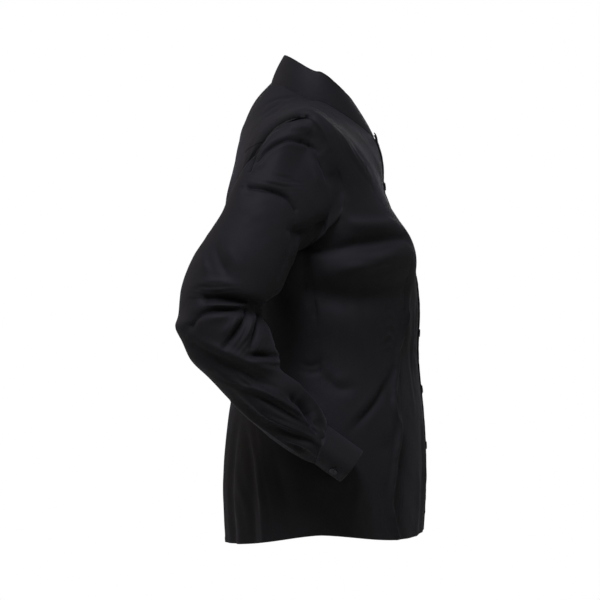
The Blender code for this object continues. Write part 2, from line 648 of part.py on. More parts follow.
def front_buttons(finish, place):
    """Buttons down the placket, each in the middle of one of its flat places."""
    level = front_levels()[::-1]
    for number in range(FRONT_BUTTONS):
        rows = level[number * ROWS_BETWEEN_BUTTONS:][:2]
        sides = (-BUTTON_PLACE_HALF, BUTTON_PLACE_HALF)
        ends = np.array([[body(edge_angle(x, row), row) for row in rows] for x in sides])
        normal = np.cross(ends[1, 0] - ends[0, 0], ends[0, 0] - ends[0, 1])
        normal /= np.linalg.norm(normal)
        point = ends.mean((0, 1)) + normal * (GAP + PLACKET_THICK)
        button(f"front_button_{number + 1}", point, normal, finish, place)


def cuff_button(name, side, finish, place):
    """The button on the cuff's upper end."""
    at = np.array([CUFF_BUTTON_AT * (len(CUFF_RINGS) - 1)])
    clock = np.array([CUFF_BUTTON_CLOCK + 360.0])
    n = normal_of(lambda a, c: cuff_point(a, c, side), at, clock, TUBE_STEPS) * side
    button(name, cuff_point(at, clock, side)[0], n[0], finish, place)


def clear_scene():
    for found in list(bpy.data.objects):
        bpy.data.objects.remove(found, do_unlink=True)


def main():
    clear_scene()
    collection = bpy.data.collections.new(NAME)
    bpy.context.scene.collection.children.link(collection)
    empty = bpy.data.objects.new("worn_at_neck", None)
    collection.objects.link(empty)
    place = {"collection": collection, "empty": empty}
    poplin = material("black_poplin", POPLIN_BLACK, 0.62, 0.2)
    band = material("black_poplin_bands", POPLIN_BLACK, 0.55, 0.15)
    horn = material("black_buttons", BUTTON_BLACK, 0.35, 0.0)
    back(poplin, place)
    for word, side in (("right", -1), ("left", 1)):
        side_front(f"side_front_{word}", side, poplin, place)
        centre_front(f"centre_front_{word}", side, poplin, place)
        sleeve_wall(f"sleeve_{word}", side, poplin, place)
        cuff(f"cuff_{word}", side, band, place)
        cuff_button(f"cuff_button_{word}", side, horn, place)
    front_band("button_band", -BAND_HALF, BAND_HALF, 0.0, CLOTH, band, place)
    lift = GAP + PLACKET_THICK
    front_band("placket", -BAND_HALF - PLACKET_COVERS, BAND_HALF, lift, PLACKET_THICK, band, place)
    collar(band, place)
    front_buttons(horn, place)


main()
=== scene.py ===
"""A mandarin collar shirt's cloth, seams, stitches, buttons and finishes, with its floor, lights and camera.

Surfaces are worked out in millimetres on the shirt's own form: -Y is the front, +X the wearer's left, +Z up.
Folds seen from a side are placed by where a viewer 3 m to that side sees them, as pixels of a 600 by 600
picture whose middle is level with the shirt's middle. Folds on the front and back are placed in millimetres.
"""

import bmesh
import bpy
import numpy as np
from mathutils import Matrix, Vector


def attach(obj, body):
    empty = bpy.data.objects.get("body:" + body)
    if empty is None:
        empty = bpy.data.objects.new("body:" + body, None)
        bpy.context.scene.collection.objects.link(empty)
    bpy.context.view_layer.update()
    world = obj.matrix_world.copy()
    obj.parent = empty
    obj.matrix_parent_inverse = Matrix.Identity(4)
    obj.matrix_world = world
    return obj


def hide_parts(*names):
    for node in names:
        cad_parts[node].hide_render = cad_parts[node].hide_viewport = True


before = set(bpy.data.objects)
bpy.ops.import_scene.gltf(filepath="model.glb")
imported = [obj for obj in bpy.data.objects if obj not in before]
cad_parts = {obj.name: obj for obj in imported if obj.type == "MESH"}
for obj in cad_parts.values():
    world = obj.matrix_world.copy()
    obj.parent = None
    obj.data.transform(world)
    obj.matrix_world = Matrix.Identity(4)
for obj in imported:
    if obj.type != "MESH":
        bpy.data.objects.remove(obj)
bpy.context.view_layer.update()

MM = 0.001
TINY = 1e-9
RIGHT, LEFT = -1, 1
SIDES = (("right", RIGHT), ("left", LEFT))

# The viewer to one side, and the size of a pixel at the shirt's middle plane
VIEW_FAR = 3000.0
VIEW_Y = 6.7
VIEW_Z = -268.0
PIXEL = 1.34
PICTURE_MIDDLE = 300.0
PICTURE_PIXELS = 600

# Thickness of the cloth on the body, on the sleeves and in the doubled bands
CLOTH = 0.45
SLEEVE_CLOTH = 0.6
BAND_THICK = 1.3
PLACKET_THICK = 1.4
COLLAR_THICK = 1.9
CUFF_THICK = 1.7

# Degrees past which an edge is shaded sharp, on cloth and on buttons
SHARP_CLOTH = 58.0
SHARP_BUTTON = 50.0

# Levels on the body, the way the hem dips at its quarters, and the armpit's place round the armhole
HEM_DIP = 4.5
HEM_DIP_FROM = -420.0
HEM_LEVEL = -575.0
NECK_LEVEL = 0.0
ARMPIT_MIDDLE_LEVEL = -192.0
SHOULDER_MIDDLE_LEVEL = -92.0
BACK_EVEN = 0.1
ARMPIT_CLOCK = 186.0

# Bands: half width, and how the placket covers the button band. Their middle is flat where the buttons lie. A
# wave has a height and length, then a drift and its length. Gathers have a height, phase and reach
BAND_HALF = 15.0
PLACKET_COVERS = 3.0
PLACKET_LIFT = 1.6
PLACKET_TOP_RISE = 3.0
BAND_TOP = (-16.0, -2.0)
BAND_LENGTH = 620.0
BAND_STEPS = (14, 200)
BAND_NORMAL_STEPS = (0.8, 0.6)
BAND_WAVE = (0.35, 37.0, 0.6, 91.0)
BAND_QUICK_WAVE = (0.2, 16.0, 9.0)
BAND_PUCKER = (0.35, 0.9, 4.0)
BAND_FLAT = 12.0
BAND_STITCHES_END = 4
BUTTON_PLACE_HALF = 5.8

# Collar
COLLAR_END_X = 4.0
COLLAR_END_SLANT = 13.0
COLLAR_END_CURVE = 1.5
COLLAR_CORNER = 5.0
COLLAR_CORNER_FROM = 0.72
COLLAR_SWELL = 1.2
COLLAR_PROUD = 0.9
COLLAR_FOOT = -0.05
COLLAR_SIZE = (330.0, 40.0)
COLLAR_STEPS = (190, 16)
COLLAR_NORMAL_STEPS = (0.5, 0.02)
COLLAR_WAVE = (0.25, 31.0, 0.4, 77.0)
COLLAR_WAVE_FROM = (4.0, 20.0)
COLLAR_PUCKER = (0.22, 0.3, 0.6)
PUCKERED_EDGE = 5.0

# Cuffs, whose clock runs from the under end once round and on over the lap. Sizes are lengths round and up
CUFF_UNDER_END = 12.0
CUFF_LAP = 50.0
CUFF_PROUD = 0.9
CUFF_RISE = 2.3
CUFF_RISE_RUN = 40.0
CUFF_FOOT = -0.14
CUFF_SIZE = (260.0, 58.0)
CUFF_STEPS = (150, 24)
CUFF_AHEAD = 0.05
CUFF_FROM = (0.03, 0.04)
CUFF_WAVE = (0.3, 23.0, 0.5, 19.0)
CUFF_PUCKER = 0.2

# Columns and rows of the grids, how they crowd together, and the steps that normals are taken over
FRONT_COLUMNS = 56
BACK_COLUMNS = 144
SIDE_SEAM_ROWS = 144
ARMHOLE_ROWS = 48
FRONT_ARMHOLE_ROWS = 80
SHOULDER_ROWS = 32
NECK_ROWS = 40
FRONT_EDGE_ROWS = 184
END_CROWDING = 0.62
BODY_STEPS = (0.4, 0.6)
TUBE_STEPS = (0.03, 1.0)
HEAD_RINGS = 3
SLEEVE_HEAD_ROWS = 82
SLEEVE_ROWS = 311
SLEEVE_COLUMNS = 165
SLEEVE_CROWDING = 0.4
SLEEVE_INNER_SKIP = 2
OUTER_MIDDLE = 0.25

# The body's rings from the hem up: places of the front, side and back, and how square the halves are
RING_RIDGE = 0.2
RING_COLUMNS = ("level", "front_y", "front_z", "side_x", "side_y", "side_z", "back_y", "back_z",
                "front_square", "back_square")
RINGS = (
    (-575, -157, -574, 199, -20, -563, 106, -586, 2, 2.3),
    (-500, -160.5, -500, 197, -22, -490, 109, -508, 2, 2.3),
    (-420, -158, -420, 184, -25, -412, 102, -422, 2, 2.3),
    (-345, -150.5, -345, 168, -27, -340, 90, -345, 2, 2.3),
    (-275, -151, -275, 175, -25, -272, 93, -272, 2.1, 2.4),
    (-205, -139, -212, 185, -18, -205, 105, -205, 2.3, 2.6),
    (-150, -118, -165, 184, -8, -125, 107, -150, 2.3, 2.7),
    (-95, -105, -122, 195, 0, -36, 95, -93, 2.2, 2.7),
    (-45, -103, -85, 130, -3, -19, 81, -32, 2.1, 2.4),
    (-18, -98, -64, 91, -8, -11, 64, 2, 2, 2.1),
    (0, -91, -49, 66, -12, -6.5, 44, 24, 2, 2),
)
COLLAR_TOP = (0, -66, -4, 57, -17, 33, 28, 60, 2, 2)

# The bust's mound: its place round the body and up it, its spreads and its height
BUST_ANGLE = 38
BUST_Z = -190
BUST_SPREAD_ANGLE = 24
BUST_SPREAD_UP = 42
BUST_SPREAD_DOWN = 60
BUST_HEIGHT = 23

# The princess seam, and the armhole by its own clock, as places round the body and levels
PRINCESS_COLUMNS = ("level", "angle")
PRINCESS = (
    (-575, 44), (-500, 43), (-420, 42), (-345, 40), (-275, 38), (-205, 38),
    (-150, 40), (-95, 50), (-60, 67), (-40, 90),
)
ARMHOLE_COLUMNS = ("clock", "angle", "level")
ARMHOLE = (
    (0, 90, -96), (30, 106, -83), (60, 121, -95), (90, 131, -114),
    (120, 130, -142), (150, 118, -170), (180, 98, -186), (210, 84, -181),
    (240, 75.5, -166), (270, 72.5, -146), (300, 74, -126), (330, 80, -108),
)

# The sleeve's rings from the armhole and the cuff's: the back and front of each, and its two outer sides
TUBE_COLUMNS = ("back_y", "back_z", "front_y", "front_z", "centre_x", "half_x", "outer_up")
SLEEVE_RINGS = (
    (76, -117, -42, -152, 201, 14, 62),
    (92, -140, -20, -178, 212, 30, 42),
    (106, -169, -2, -194, 220, 41, 30),
    (125, -195, 5, -212, 226, 47, 20),
    (142.5, -223.5, 14, -230, 232, 50, 12),
    (153.5, -257, 28, -256, 237, 51, 7),
    (156.5, -286, 43, -270, 241, 51, 3),
    (160, -301, 51, -280, 243.5, 50, 1),
    (152, -318, 48, -294, 245, 49, 0),
    (140, -342, 40, -314, 246, 47, 0),
    (118, -364, 33, -334, 246, 45, 0),
    (93, -391, 30, -355, 245, 43.5, 0),
    (60, -424, 0, -373, 243, 42, 0),
    (30, -448, -20, -392, 240.5, 41, 0),
    (4, -463, -26, -411, 238.5, 39.5, 0),
    (-12.2, -469.2, -26.9, -423.4, 237.2, 37.5, 0),
)
CUFF_RINGS = (
    (-12.5, -469.5, -27.2, -423.7, 237, 37.8, 0),
    (-27.5, -480.8, -49, -439.5, 233.5, 38.3, 0),
    (-42.7, -491.5, -71, -455.7, 229, 38.8, 0),
)

# Folds follow smooth curves through pairs of places. Width is the half width of the trough or ridge, height
# is outward in millimetres, and first and last are the strengths at the two ends. Side is the height of a
# softer fold along its right-hand edge, as seen going along it with the second value of each pair pointing
# down. A row leaves out the values at its end that are the usual ones
FOLD_COLUMNS = ("through", "width", "height", "first", "last", "side")
FOLD_USUAL = {"first": 0.1, "last": 0.1, "side": 0}
STEPS_BETWEEN = 6
# How deep a trough is for its width where it begins to close on itself, and where it has closed, which sets
# how dark the shade painted into its crease is, and how much of its width the painted crease shade takes
CREASE_FROM = (0.5, 2.0)
CREASE_SHARE = 0.7

# Folds that the body shares with the sleeve: the crescent behind, and on the wearer's right two slanted lines
# in front. Each side's folds are in the pixels of its own viewer's picture
RIGHT_SHARED = (
    ((249, 169, 252, 157, 258, 145, 265, 134, 273, 125, 285, 117.5, 300, 114.5, 311, 116), 2.8, -7, 0.8, 0.3),
    ((321, 152, 329, 162, 337, 174, 343, 188), 2.6, -2.4, 0.4, 0.1),
    ((316, 158, 322, 168, 330, 184), 2.2, -1.2, 0.2, 0.1),
)
LEFT_SHARED = (
    ((249, 168, 254, 155, 260, 143, 270, 128, 284, 120, 298, 116), 3, -5.2, 0.5, 0.5),
)
RIGHT_BODY_FOLDS = (
    # the valley from the armpit to the bust, the lit fold under it and the hollow under the bust
    ((300, 243, 328, 250, 362, 243, 412, 235), 6.5, -8, 0.8, 0.9),
    ((302, 235, 322, 239, 352, 236), 8, -4.5, 1, 0.1),
    ((329, 271, 352, 267, 380, 260, 408, 250), 8, 7.2, 0.3, 0.3),
    ((304, 292, 330, 297, 360, 297, 402, 286), 15, -13, 0.7, 0.5),
    ((338, 221, 350, 223, 368, 225, 402, 224), 6, 6, 0, 0.4),
    # under the arm
    ((300, 238, 304, 262, 303, 300), 9, -4.5, 0.8, 0),
    ((312, 300, 315, 310, 312, 322), 4.5, -2.6, 0.3, 0.3, 1),
    ((322, 296, 318, 306, 322, 318), 4, 1.3, 0.2, 0.2),
    ((300, 362, 310, 366, 324, 361), 3.2, -2.6, 0.3, 0.2, -1),
    ((304, 371, 314, 373, 322, 369), 3, -1.6, 0.2, 0.2),
    # the waist's soft trough and the long slanted fold from the princess seam
    ((318, 368, 337, 388, 360, 387), 6, -3.4, 0.2, 0.1),
    ((330, 376, 344, 379, 356, 377), 6, 1, 0, 0),
    ((393, 370, 376, 402, 348, 434), 4, -5.4, 0.3, 0.1, 1.4),
    ((398, 392, 388, 424, 372, 452), 7, 1.6, 0.2, 0),
    ((396, 430, 388, 446, 378, 458), 5, -1.8, 0.3, 0),
    # the princess ridge below the bust, down to the hem
    ((413, 284, 408, 303, 403, 322, 400, 345), 1.8, 4.6, 0.4, 0.4),
    ((402, 332, 397, 352, 396, 370, 393, 392), 2.1, 5.4, 0.2, 0.4),
    ((396, 384, 393, 404, 399, 424), 1.7, 4.6, 0.2, 0.3),
    ((400, 416, 399, 438, 396, 458), 2, 5.4, 0.2, 0.4),
    ((397, 448, 394, 472, 391, 500, 392, 516), 1.8, 4.6, 0.3, 0.4),
    ((391, 506, 394, 522, 397, 538), 2, 5.2, 0.2, 1),
    ((405, 420, 402, 460, 397, 505, 403, 538), 3.4, -3.4, 0.2, 0.8),
    ((411, 298, 409, 326, 408, 352), 3, 1.8, 0.2, 0.2),
    ((384, 470, 381, 505, 384, 540), 8, -1.8, 0.1, 0.8),
    ((391, 356, 389, 410, 394, 430, 392, 458, 386, 500, 391, 536), 2.8, -1.2, 0.2, 0.8),
    # the skirt of the shirt behind the forearm, in soft upright folds
    ((239, 408, 249, 460, 252, 542), 6, -4.6, 0.4, 1, 1),
    ((247, 424, 258, 470, 264, 540), 3.2, 3.2, 0.2, 0.9),
    ((236, 440, 235, 490, 239, 542), 4, 2, 0.1, 1),
    ((268, 440, 281, 490, 286, 540), 9, -3.6, 0.2, 1),
    ((296, 470, 304, 505, 306, 538), 9, 1.8, 0, 0.8),
    ((322, 476, 326, 508, 322, 536), 9, -2.4, 0, 0.9),
    ((350, 488, 352, 514, 350, 538), 10, 1.6, 0, 0.8),
    # between the shoulder and the bust
    ((334, 168, 341, 186, 345, 204), 4, -1.8, 0.1, 0.1, 0.8),
    ((341, 170, 350, 188, 356, 204), 4, 0.9, 0, 0),
    ((352, 186, 366, 204, 384, 218), 8, 1.2),
    ((328, 205, 340, 214, 350, 224), 4, 1.8, 0.3, 0),
    # the shoulder's princess ridge, with finer ripples in front of it
    ((309, 105, 330, 121, 348, 146, 367, 171, 389, 202), 3.6, 3.2, 0.3, 0.2),
    ((340, 117, 354, 134, 368, 156), 1.5, 1.4),
    ((347, 117, 361, 136, 374, 160), 1.6, 0.9, 0, 0.1),
    ((352, 146, 364, 158, 378, 180), 1.8, -1.3),
    ((334, 119, 347, 133, 360, 150), 1.8, -1.4),
    # the upper back behind the armhole
    ((261, 112, 266, 104, 279, 97.5, 300, 96), 2.2, -2.8, 0.1, 0.1, 0.7),
    ((262, 115.5, 271, 107, 282, 103, 297, 101.5), 1.9, -2.4),
    ((252, 136, 266, 117, 279, 110.5, 293, 108.5), 2, -2.4),
    ((239, 170, 242, 150, 249, 132), 2.4, -1.6, 0.1, 0.1, 0.6),
    ((236, 186, 237, 172, 240, 160), 2.2, 1, 0.1, 0),
)

# The wearer's left half from its own side, with the same kinds of fold unevenly changed
LEFT_BODY_FOLDS = (
    ((320, 231, 358, 239, 410, 236), 8.5, -6, 1, 0.1),
    ((320, 244, 348, 248, 380, 243), 8, -3.2, 1, 0),
    ((322, 270, 360, 261, 406, 245), 9, 3.2, 0.6, 0.2),
    ((312, 297, 350, 298, 394, 289), 14, -4.2, 0.7, 0.2),
    ((300, 240, 302, 266, 300, 304), 9, -4, 0.8, 0),
    ((318, 304, 322, 318, 318, 334), 5, -2.2, 0.2, 0.2, 0.8),
    ((306, 352, 318, 357, 334, 351), 3.6, -2.4, 0.2, 0.2, -0.8),
    ((312, 366, 332, 380, 354, 376), 6.5, -3, 0.2, 0.1),
    ((394, 352, 380, 388, 350, 424), 5, -3.8, 0.3, 0.1, 1.2),
    ((396, 410, 386, 436, 368, 458), 6, -2, 0.2, 0, 0.8),
    ((412, 286, 403, 326, 397, 376, 395, 412, 397, 446, 393, 492, 395, 538), 3.2, 2.8, 0.2, 1),
    ((241, 412, 246, 466, 248, 542), 6.5, -4.2, 0.4, 1, 1.2),
    ((254, 430, 268, 480, 276, 540), 7, -3.4, 0.2, 1, 0.8),
    ((290, 452, 300, 500, 300, 538), 9, 2.2, 0, 0.9),
    ((318, 470, 318, 505, 314, 538), 8, -2.8, 0, 0.9),
    ((346, 480, 352, 510, 352, 538), 10, 1.8, 0, 0.8),
    ((332, 170, 340, 188, 343, 208), 4, -1.6, 0.1, 0.1, 0.8),
    ((309, 105, 330, 121, 348, 146, 367, 171, 389, 202), 3.8, 2.8, 0.3, 0.2),
    ((338, 119, 352, 135, 364, 154), 1.9, 1),
    ((350, 122, 362, 140, 372, 162), 1.8, -1.1),
    ((264, 118, 278, 107, 298, 101), 2.6, -1.4, 0.1, 0.1, 0.7),
    ((252, 134, 262, 121, 276, 112), 2.4, 1.1),
    ((240, 174, 242, 154, 249, 138), 2.8, -1.8, 0.1, 0.1, 0.8),
)

# Folds across the front and the back, placed by X and Z in millimetres
FRONT_FOLDS = (
    ((-92, -300, -84, -352, -88, -430), 6, 2.2, 0.1, 0.1, -1.2),
    ((-74, -262, -66, -320, -70, -392), 5, 2.2, 0.1, 0, -1.6),
    ((-52, -250, -46, -296, -50, -350), 6, -1.8, 0.1, 0),
    ((-62, -400, -52, -470, -58, -568), 9, -2.4, 0.1, 0.8, 1.2),
    ((-88, -470, -80, -520, -84, -572), 8, 2, 0.1, 0.9),
    ((-30, -440, -34, -500, -30, -566), 7, 1.4, 0, 0.7),
    ((-88, -236, -60, -222, -26, -226), 9, -1.8, 0.2, 0.1),
    ((-66, -150, -46, -164, -24, -168), 8, -1.4, 0.1, 0.1, 0.6),
    ((-78, -110, -60, -136, -52, -160), 5, 1.4, 0.1, 0.1, -1),
    ((-24, -232, 0, -226, 24, -233), 8, -1.2, 0.2, 0.2),
    ((92, -296, 82, -356, 90, -436), 6, 2, 0.1, 0.1, 1.2),
    ((72, -268, 64, -330, 71, -400), 5.5, 2, 0.1, 0, 1.4),
    ((50, -256, 46, -304, 52, -360), 6, -1.6, 0.1, 0),
    ((60, -392, 50, -476, 56, -568), 9, -2.2, 0.1, 0.8, -1.2),
    ((86, -462, 80, -520, 82, -572), 8, 1.8, 0.1, 0.9),
    ((34, -430, 36, -500, 31, -566), 7, 1.4, 0, 0.7),
    ((86, -240, 58, -226, 24, -231), 9, -1.6, 0.2, 0.1),
    ((64, -146, 46, -160, 26, -163), 8, -1.3, 0.1, 0.1, 0.6),
    ((80, -114, 62, -140, 54, -164), 5, 1.3, 0.1, 0.1, 1),
    ((-70, -320, -48, -338, -22, -342), 5, -1.3, 0.1, 0.1, 0.5),
    ((72, -330, 50, -350, 24, -352), 5, -1.3, 0.1, 0.1, 0.5),
)
BACK_FOLDS = (
    ((-104, -390, -100, -470, -108, -582), 10, -4.6, 0.1, 1, 1.6),
    ((-72, -360, -62, -450, -66, -584), 10, 3, 0, 1, -1.4),
    ((-34, -380, -36, -470, -28, -584), 11, -4.2, 0, 1, 1.4),
    ((6, -400, 2, -490, 8, -584), 11, 2.4, 0, 1),
    ((40, -372, 36, -470, 42, -584), 10, -4, 0, 1, -1.4),
    ((78, -356, 70, -450, 76, -584), 10, 2.8, 0, 1, 1.2),
    ((108, -392, 104, -480, 112, -582), 9, -4.2, 0.1, 1, -1.4),
    ((-118, -300, -70, -326, -16, -322), 7, -3.2, 0.2, 0, 1.6),
    ((-104, -338, -58, -350, -8, -344), 6, -2.8, 0.1, 0, 1.4),
    ((-96, -372, -60, -376, -24, -366), 6, -2, 0.1, 0, 1),
    ((120, -292, 72, -316, 26, -308), 7, -3.2, 0.2, 0, -1.6),
    ((110, -330, 66, -346, 10, -336), 6, -2.6, 0.1, 0, -1.4),
    ((98, -364, 64, -372, 30, -360), 6, -2, 0.1, 0, -1),
    ((-30, -296, 0, -302, 34, -292), 8, 2, 0, 0),
    ((-128, -236, -92, -210, -60, -160), 9, -3.2, 0.2, 0, 1.4),
    ((128, -232, 94, -204, 66, -150), 9, -3, 0.2, 0, -1.4),
    ((-118, -176, -92, -150, -78, -106), 8, 2.2, 0.1, 0),
    ((116, -170, 92, -146, 80, -100), 8, 2, 0.1, 0),
    ((-56, -40, -22, -58, 18, -56), 7, -1.8, 0.1, 0, 0.8),
    ((54, -44, 30, -66, -6, -76), 7, -1.6, 0.1, 0),
    ((-24, -120, -16, -180, -26, -240), 12, -1.8, 0, 0),
    ((30, -130, 26, -190, 34, -250), 12, -1.6, 0, 0),
)

# Sleeve folds, seen from the wearer's right and then from the left
RIGHT_SLEEVE_FOLDS = (
    # rolls over the sleeve's head, and the second crescent
    ((257, 159, 266, 149, 279, 141, 290, 138, 302, 138), 2.9, -6, 0.8, 0.6, 1.2),
    ((296, 137.5, 306, 139, 314, 142, 324, 149), 2, -3.8, 0.1, 0.2, 0.4),
    ((260, 148, 280, 131, 302, 126, 320, 131, 334, 148), 4, 2.8, 0.3, 0.1),
    ((270, 132, 285, 123, 300, 120, 313, 122), 1.5, -1.6),
    ((325, 151, 336, 166, 343, 186), 2.8, -2, 0.2, 0.1, 0.8),
    ((318, 156, 328, 170, 334, 190), 4, 1.2),
    ((248, 176, 256, 168, 268, 161), 3.4, 2.2, 0.2, 0),
    # the third crease and the roll above it
    ((248, 187, 262, 188.5, 277, 191, 290, 197, 298, 209), 2.9, -5.8, 0.7, 0.5, -1),
    ((298, 204, 297, 222, 291, 250, 274, 290), 5, -3.4, 0.3, 0.3),
    ((256, 181, 276, 181, 300, 186), 2.6, 1.5),
    ((270, 175, 290, 177, 312, 184), 1.8, -1.3),
    ((240, 195, 248, 192, 256, 195), 3, -1.6),
    ((322, 240, 312, 256, 298, 284), 12, -7, 1, 0.6),
    ((292, 230, 306, 233, 322, 238), 5, -5.5, 0.4, 0.4),
    ((313, 150, 321, 166, 326, 188), 4, 2),
    ((321, 153, 331, 167, 337, 188), 3.4, -3),
    # the upper arm's soft fold
    ((214, 238, 219, 260, 231, 282), 5.5, -3.6, 0.2, 0.1, -1.2),
    ((226, 240, 233, 258, 246, 274), 6, 1.4, 0, 0),
    ((203, 248, 204, 262, 209, 276), 4, 1.6),
    ((198, 284, 216, 281, 240, 285), 3.4, 1.6, 0.2, 0.2),
    ((192, 290, 202, 287, 214, 289), 2.4, -1.2, 0.2, 0.1),
    # the elbow: a deep fold, the crescent under it and folds that fan out from the bend
    ((204, 297.5, 220, 297.5, 238, 300, 252, 304, 270, 311), 5.5, -13, 0.75, 0.6, -1),
    ((207, 304.5, 226, 305, 248, 306.5), 1.9, 3.6, 0.2, 0.2),
    ((191, 326, 196, 317, 204, 311.5, 216, 310, 236, 310, 254, 312), 3.8, -7, 0.7, 0.6),
    ((204, 322, 216, 317, 232, 317), 4.5, 2.2, 0.2, 0.1),
    ((250, 312, 239, 328, 225, 347), 3, -6, 0.7, 0.4, 1.2),
    ((262, 313, 257, 329, 251, 347), 3, -5.8, 0.7, 0.4, 1.2),
    ((256, 315, 249, 330, 241, 346), 2.4, 2, 0.3, 0.1),
    ((268, 318, 268, 332, 264, 346), 3.4, 1.8, 0.2, 0.1),
    ((239, 316, 229, 327, 218, 338), 4, 1.8, 0.2, 0.1),
    ((272, 305, 276, 322, 281, 342), 2.6, 2, 0.3, 0.2, -1.2),
    # the slot below them, and the fold that the forearm's shade starts at
    ((247, 356, 260, 354.5, 277, 355.5), 3.4, -7, 0.2, 0.5),
    ((246, 361, 262, 361.5, 280, 363), 2.6, 2.8, 0.1, 0.3),
    ((190, 336, 214, 347, 243, 359, 270, 370, 300, 381), 4.6, 3.8, 0.3, 0.4),
    ((194, 345, 220, 362, 250, 377, 272, 385, 296, 393), 6, -6.4, 0.3, 0.3),
    # long folds down the forearm to the cuff
    ((236, 387, 256, 389, 278, 399, 300, 412, 318, 431), 2.2, 3, 0.1, 0.3),
    ((238, 391, 270, 404, 316, 432), 3.4, -5, 0.1, 0.5),
    ((246, 400, 272, 419, 322, 440), 2.6, 2.6, 0.1, 0.7),
    ((262, 420, 288, 434, 320, 446), 3, -4.2, 0.1, 0.6),
    ((266, 429, 292, 441, 322, 450), 2.4, 2.4, 0.1, 0.7),
    ((286, 441, 302, 450, 318, 456), 2.6, -3, 0.1, 0.7),
    ((222, 384, 242, 404, 268, 425), 4.5, -3.2, 0.1, 0.1, 1),
    ((207, 360, 224, 376, 244, 388), 3, 1.4),
    ((299, 396, 309, 404, 317, 422), 10, -19, 0.8, 0.7),
    ((231, 402, 252, 419, 272, 433, 300, 453), 1.8, 2.8, 0.6, 0.8),
    ((290, 378, 308, 386, 324, 400), 3.2, 2.6, 0.2, 0.3),
    ((318, 414, 317, 424, 322, 434), 2.4, 2.2, 0.2, 0.4, -1.2),
)
LEFT_SLEEVE_FOLDS = (
    ((257, 161, 268, 151, 284, 143, 302, 140, 315, 143, 327, 155), 2.5, -5.2, 0.1, 0.1, 1.2),
    ((264, 149, 282, 134, 306, 128, 322, 133, 333, 150), 4.2, 2.4, 0.3, 0.1),
    ((326, 156, 335, 170, 340, 190), 2.8, -2, 0.2, 0.1, 0.8),
    ((246, 180, 262, 172, 282, 175), 3, -3.4, 0.1, 0.2, -1.2),
    ((252, 198, 272, 196, 294, 206), 2.6, -4.4, 0.1, 0.3, -1.4),
    ((297, 212, 299, 224, 296, 238), 5, -3.4, 0.3, 0.2),
    ((218, 228, 225, 252, 240, 272), 6, -3.4, 0.2, 0.1, -1.2),
    ((206, 256, 214, 272, 230, 284), 4, -2, 0.1, 0.1, 0.8),
    ((200, 292, 224, 289, 250, 296, 260, 298, 268, 294), 4, -10, 0.05, 0.4, -1.6),
    ((190, 322, 203, 309, 222, 305, 238, 304, 254, 307), 2.8, -5.6, 0.1, 0.5),
    ((204, 318, 220, 313, 238, 314), 4.5, 2, 0.2, 0.1),
    ((250, 309, 236, 322, 219, 336), 2.8, -4.6, 0.7, 0.1, 1.2),
    ((260, 312, 251, 331, 240, 350), 2.8, -4.6, 0.7, 0.1, 1.2),
    ((267, 314, 265, 332, 260, 350), 2.4, -3.2, 0.6, 0.1, 1),
    ((250, 362, 264, 359, 279, 361), 3, -5, 0.2, 0.5, 1.4),
    ((192, 341, 220, 353, 256, 366), 5, 3.2, 0.3, 0.6),
    ((200, 352, 228, 370, 262, 384), 6, -3.8, 0.2, 0.4),
    ((240, 384, 272, 396, 316, 424), 2.6, 2.6, 0.1, 0.6),
    ((238, 394, 268, 408, 316, 434), 3.6, -4.8, 0.1, 0.5),
    ((252, 408, 280, 426, 320, 443), 2.8, 2.4, 0.1, 0.7),
    ((268, 426, 292, 438, 319, 449), 3, -3.8, 0.1, 0.7, 1.2),
    ((226, 388, 246, 408, 274, 430), 4.5, -3, 0.1, 0.1, 1),
    ((302, 394, 314, 401, 322, 414), 7, -5.5, 0.6, 0.3),
    ((290, 380, 308, 389, 323, 403), 3.2, 2.4, 0.2, 0.3),
)

# Painted shade where folds crowd so close that little light gets between them: through, width and how dark,
# from 0 to 1. Each table has a set of rows for the wearer's right and then one for the left
CRESCENT_SHADE = ((250, 166, 254, 155, 260, 143, 267, 131, 278, 120.5, 291, 115.5, 307, 115), 1.5, 0.9)
BODY_SHADES = (
    (CRESCENT_SHADE, ((306, 240, 328, 243, 354, 239), 7.5, 0.5), ((340, 236, 372, 236, 406, 235), 3.6, 0.4),
     ((300, 292, 296, 318, 292, 344), 6, 0.1)),
    (((318, 240, 312, 264, 304, 292), 9, 0.4),),
)
SLEEVE_SHADES = (
    (CRESCENT_SHADE, ((304, 398, 313, 406, 319, 420), 9, 0.85), ((246, 391, 272, 400, 300, 413), 6, 0.6),
     ((262, 413, 286, 425, 312, 432), 5.5, 0.6),
     ((228, 376, 262, 388, 300, 396), 7, 0.3), ((208, 354, 230, 371, 250, 384), 6, 0.4),
     ((324, 232, 312, 250, 298, 284), 10, 0.6), ((301, 235, 318, 236, 334, 230), 8, 0.8)),
    (((304, 398, 313, 406, 319, 420), 7, 0.5), ((246, 393, 274, 403, 302, 417), 4.5, 0.3),
     ((322, 240, 312, 256, 299, 284), 8, 0.45)),
)

# Pixels that the outer side's folds are moved by to stand for those on the side against the body
INNER_SHIFT = (-7, 8)
INNER_SHARE = 0.7
INNER_BLEND = 0.35

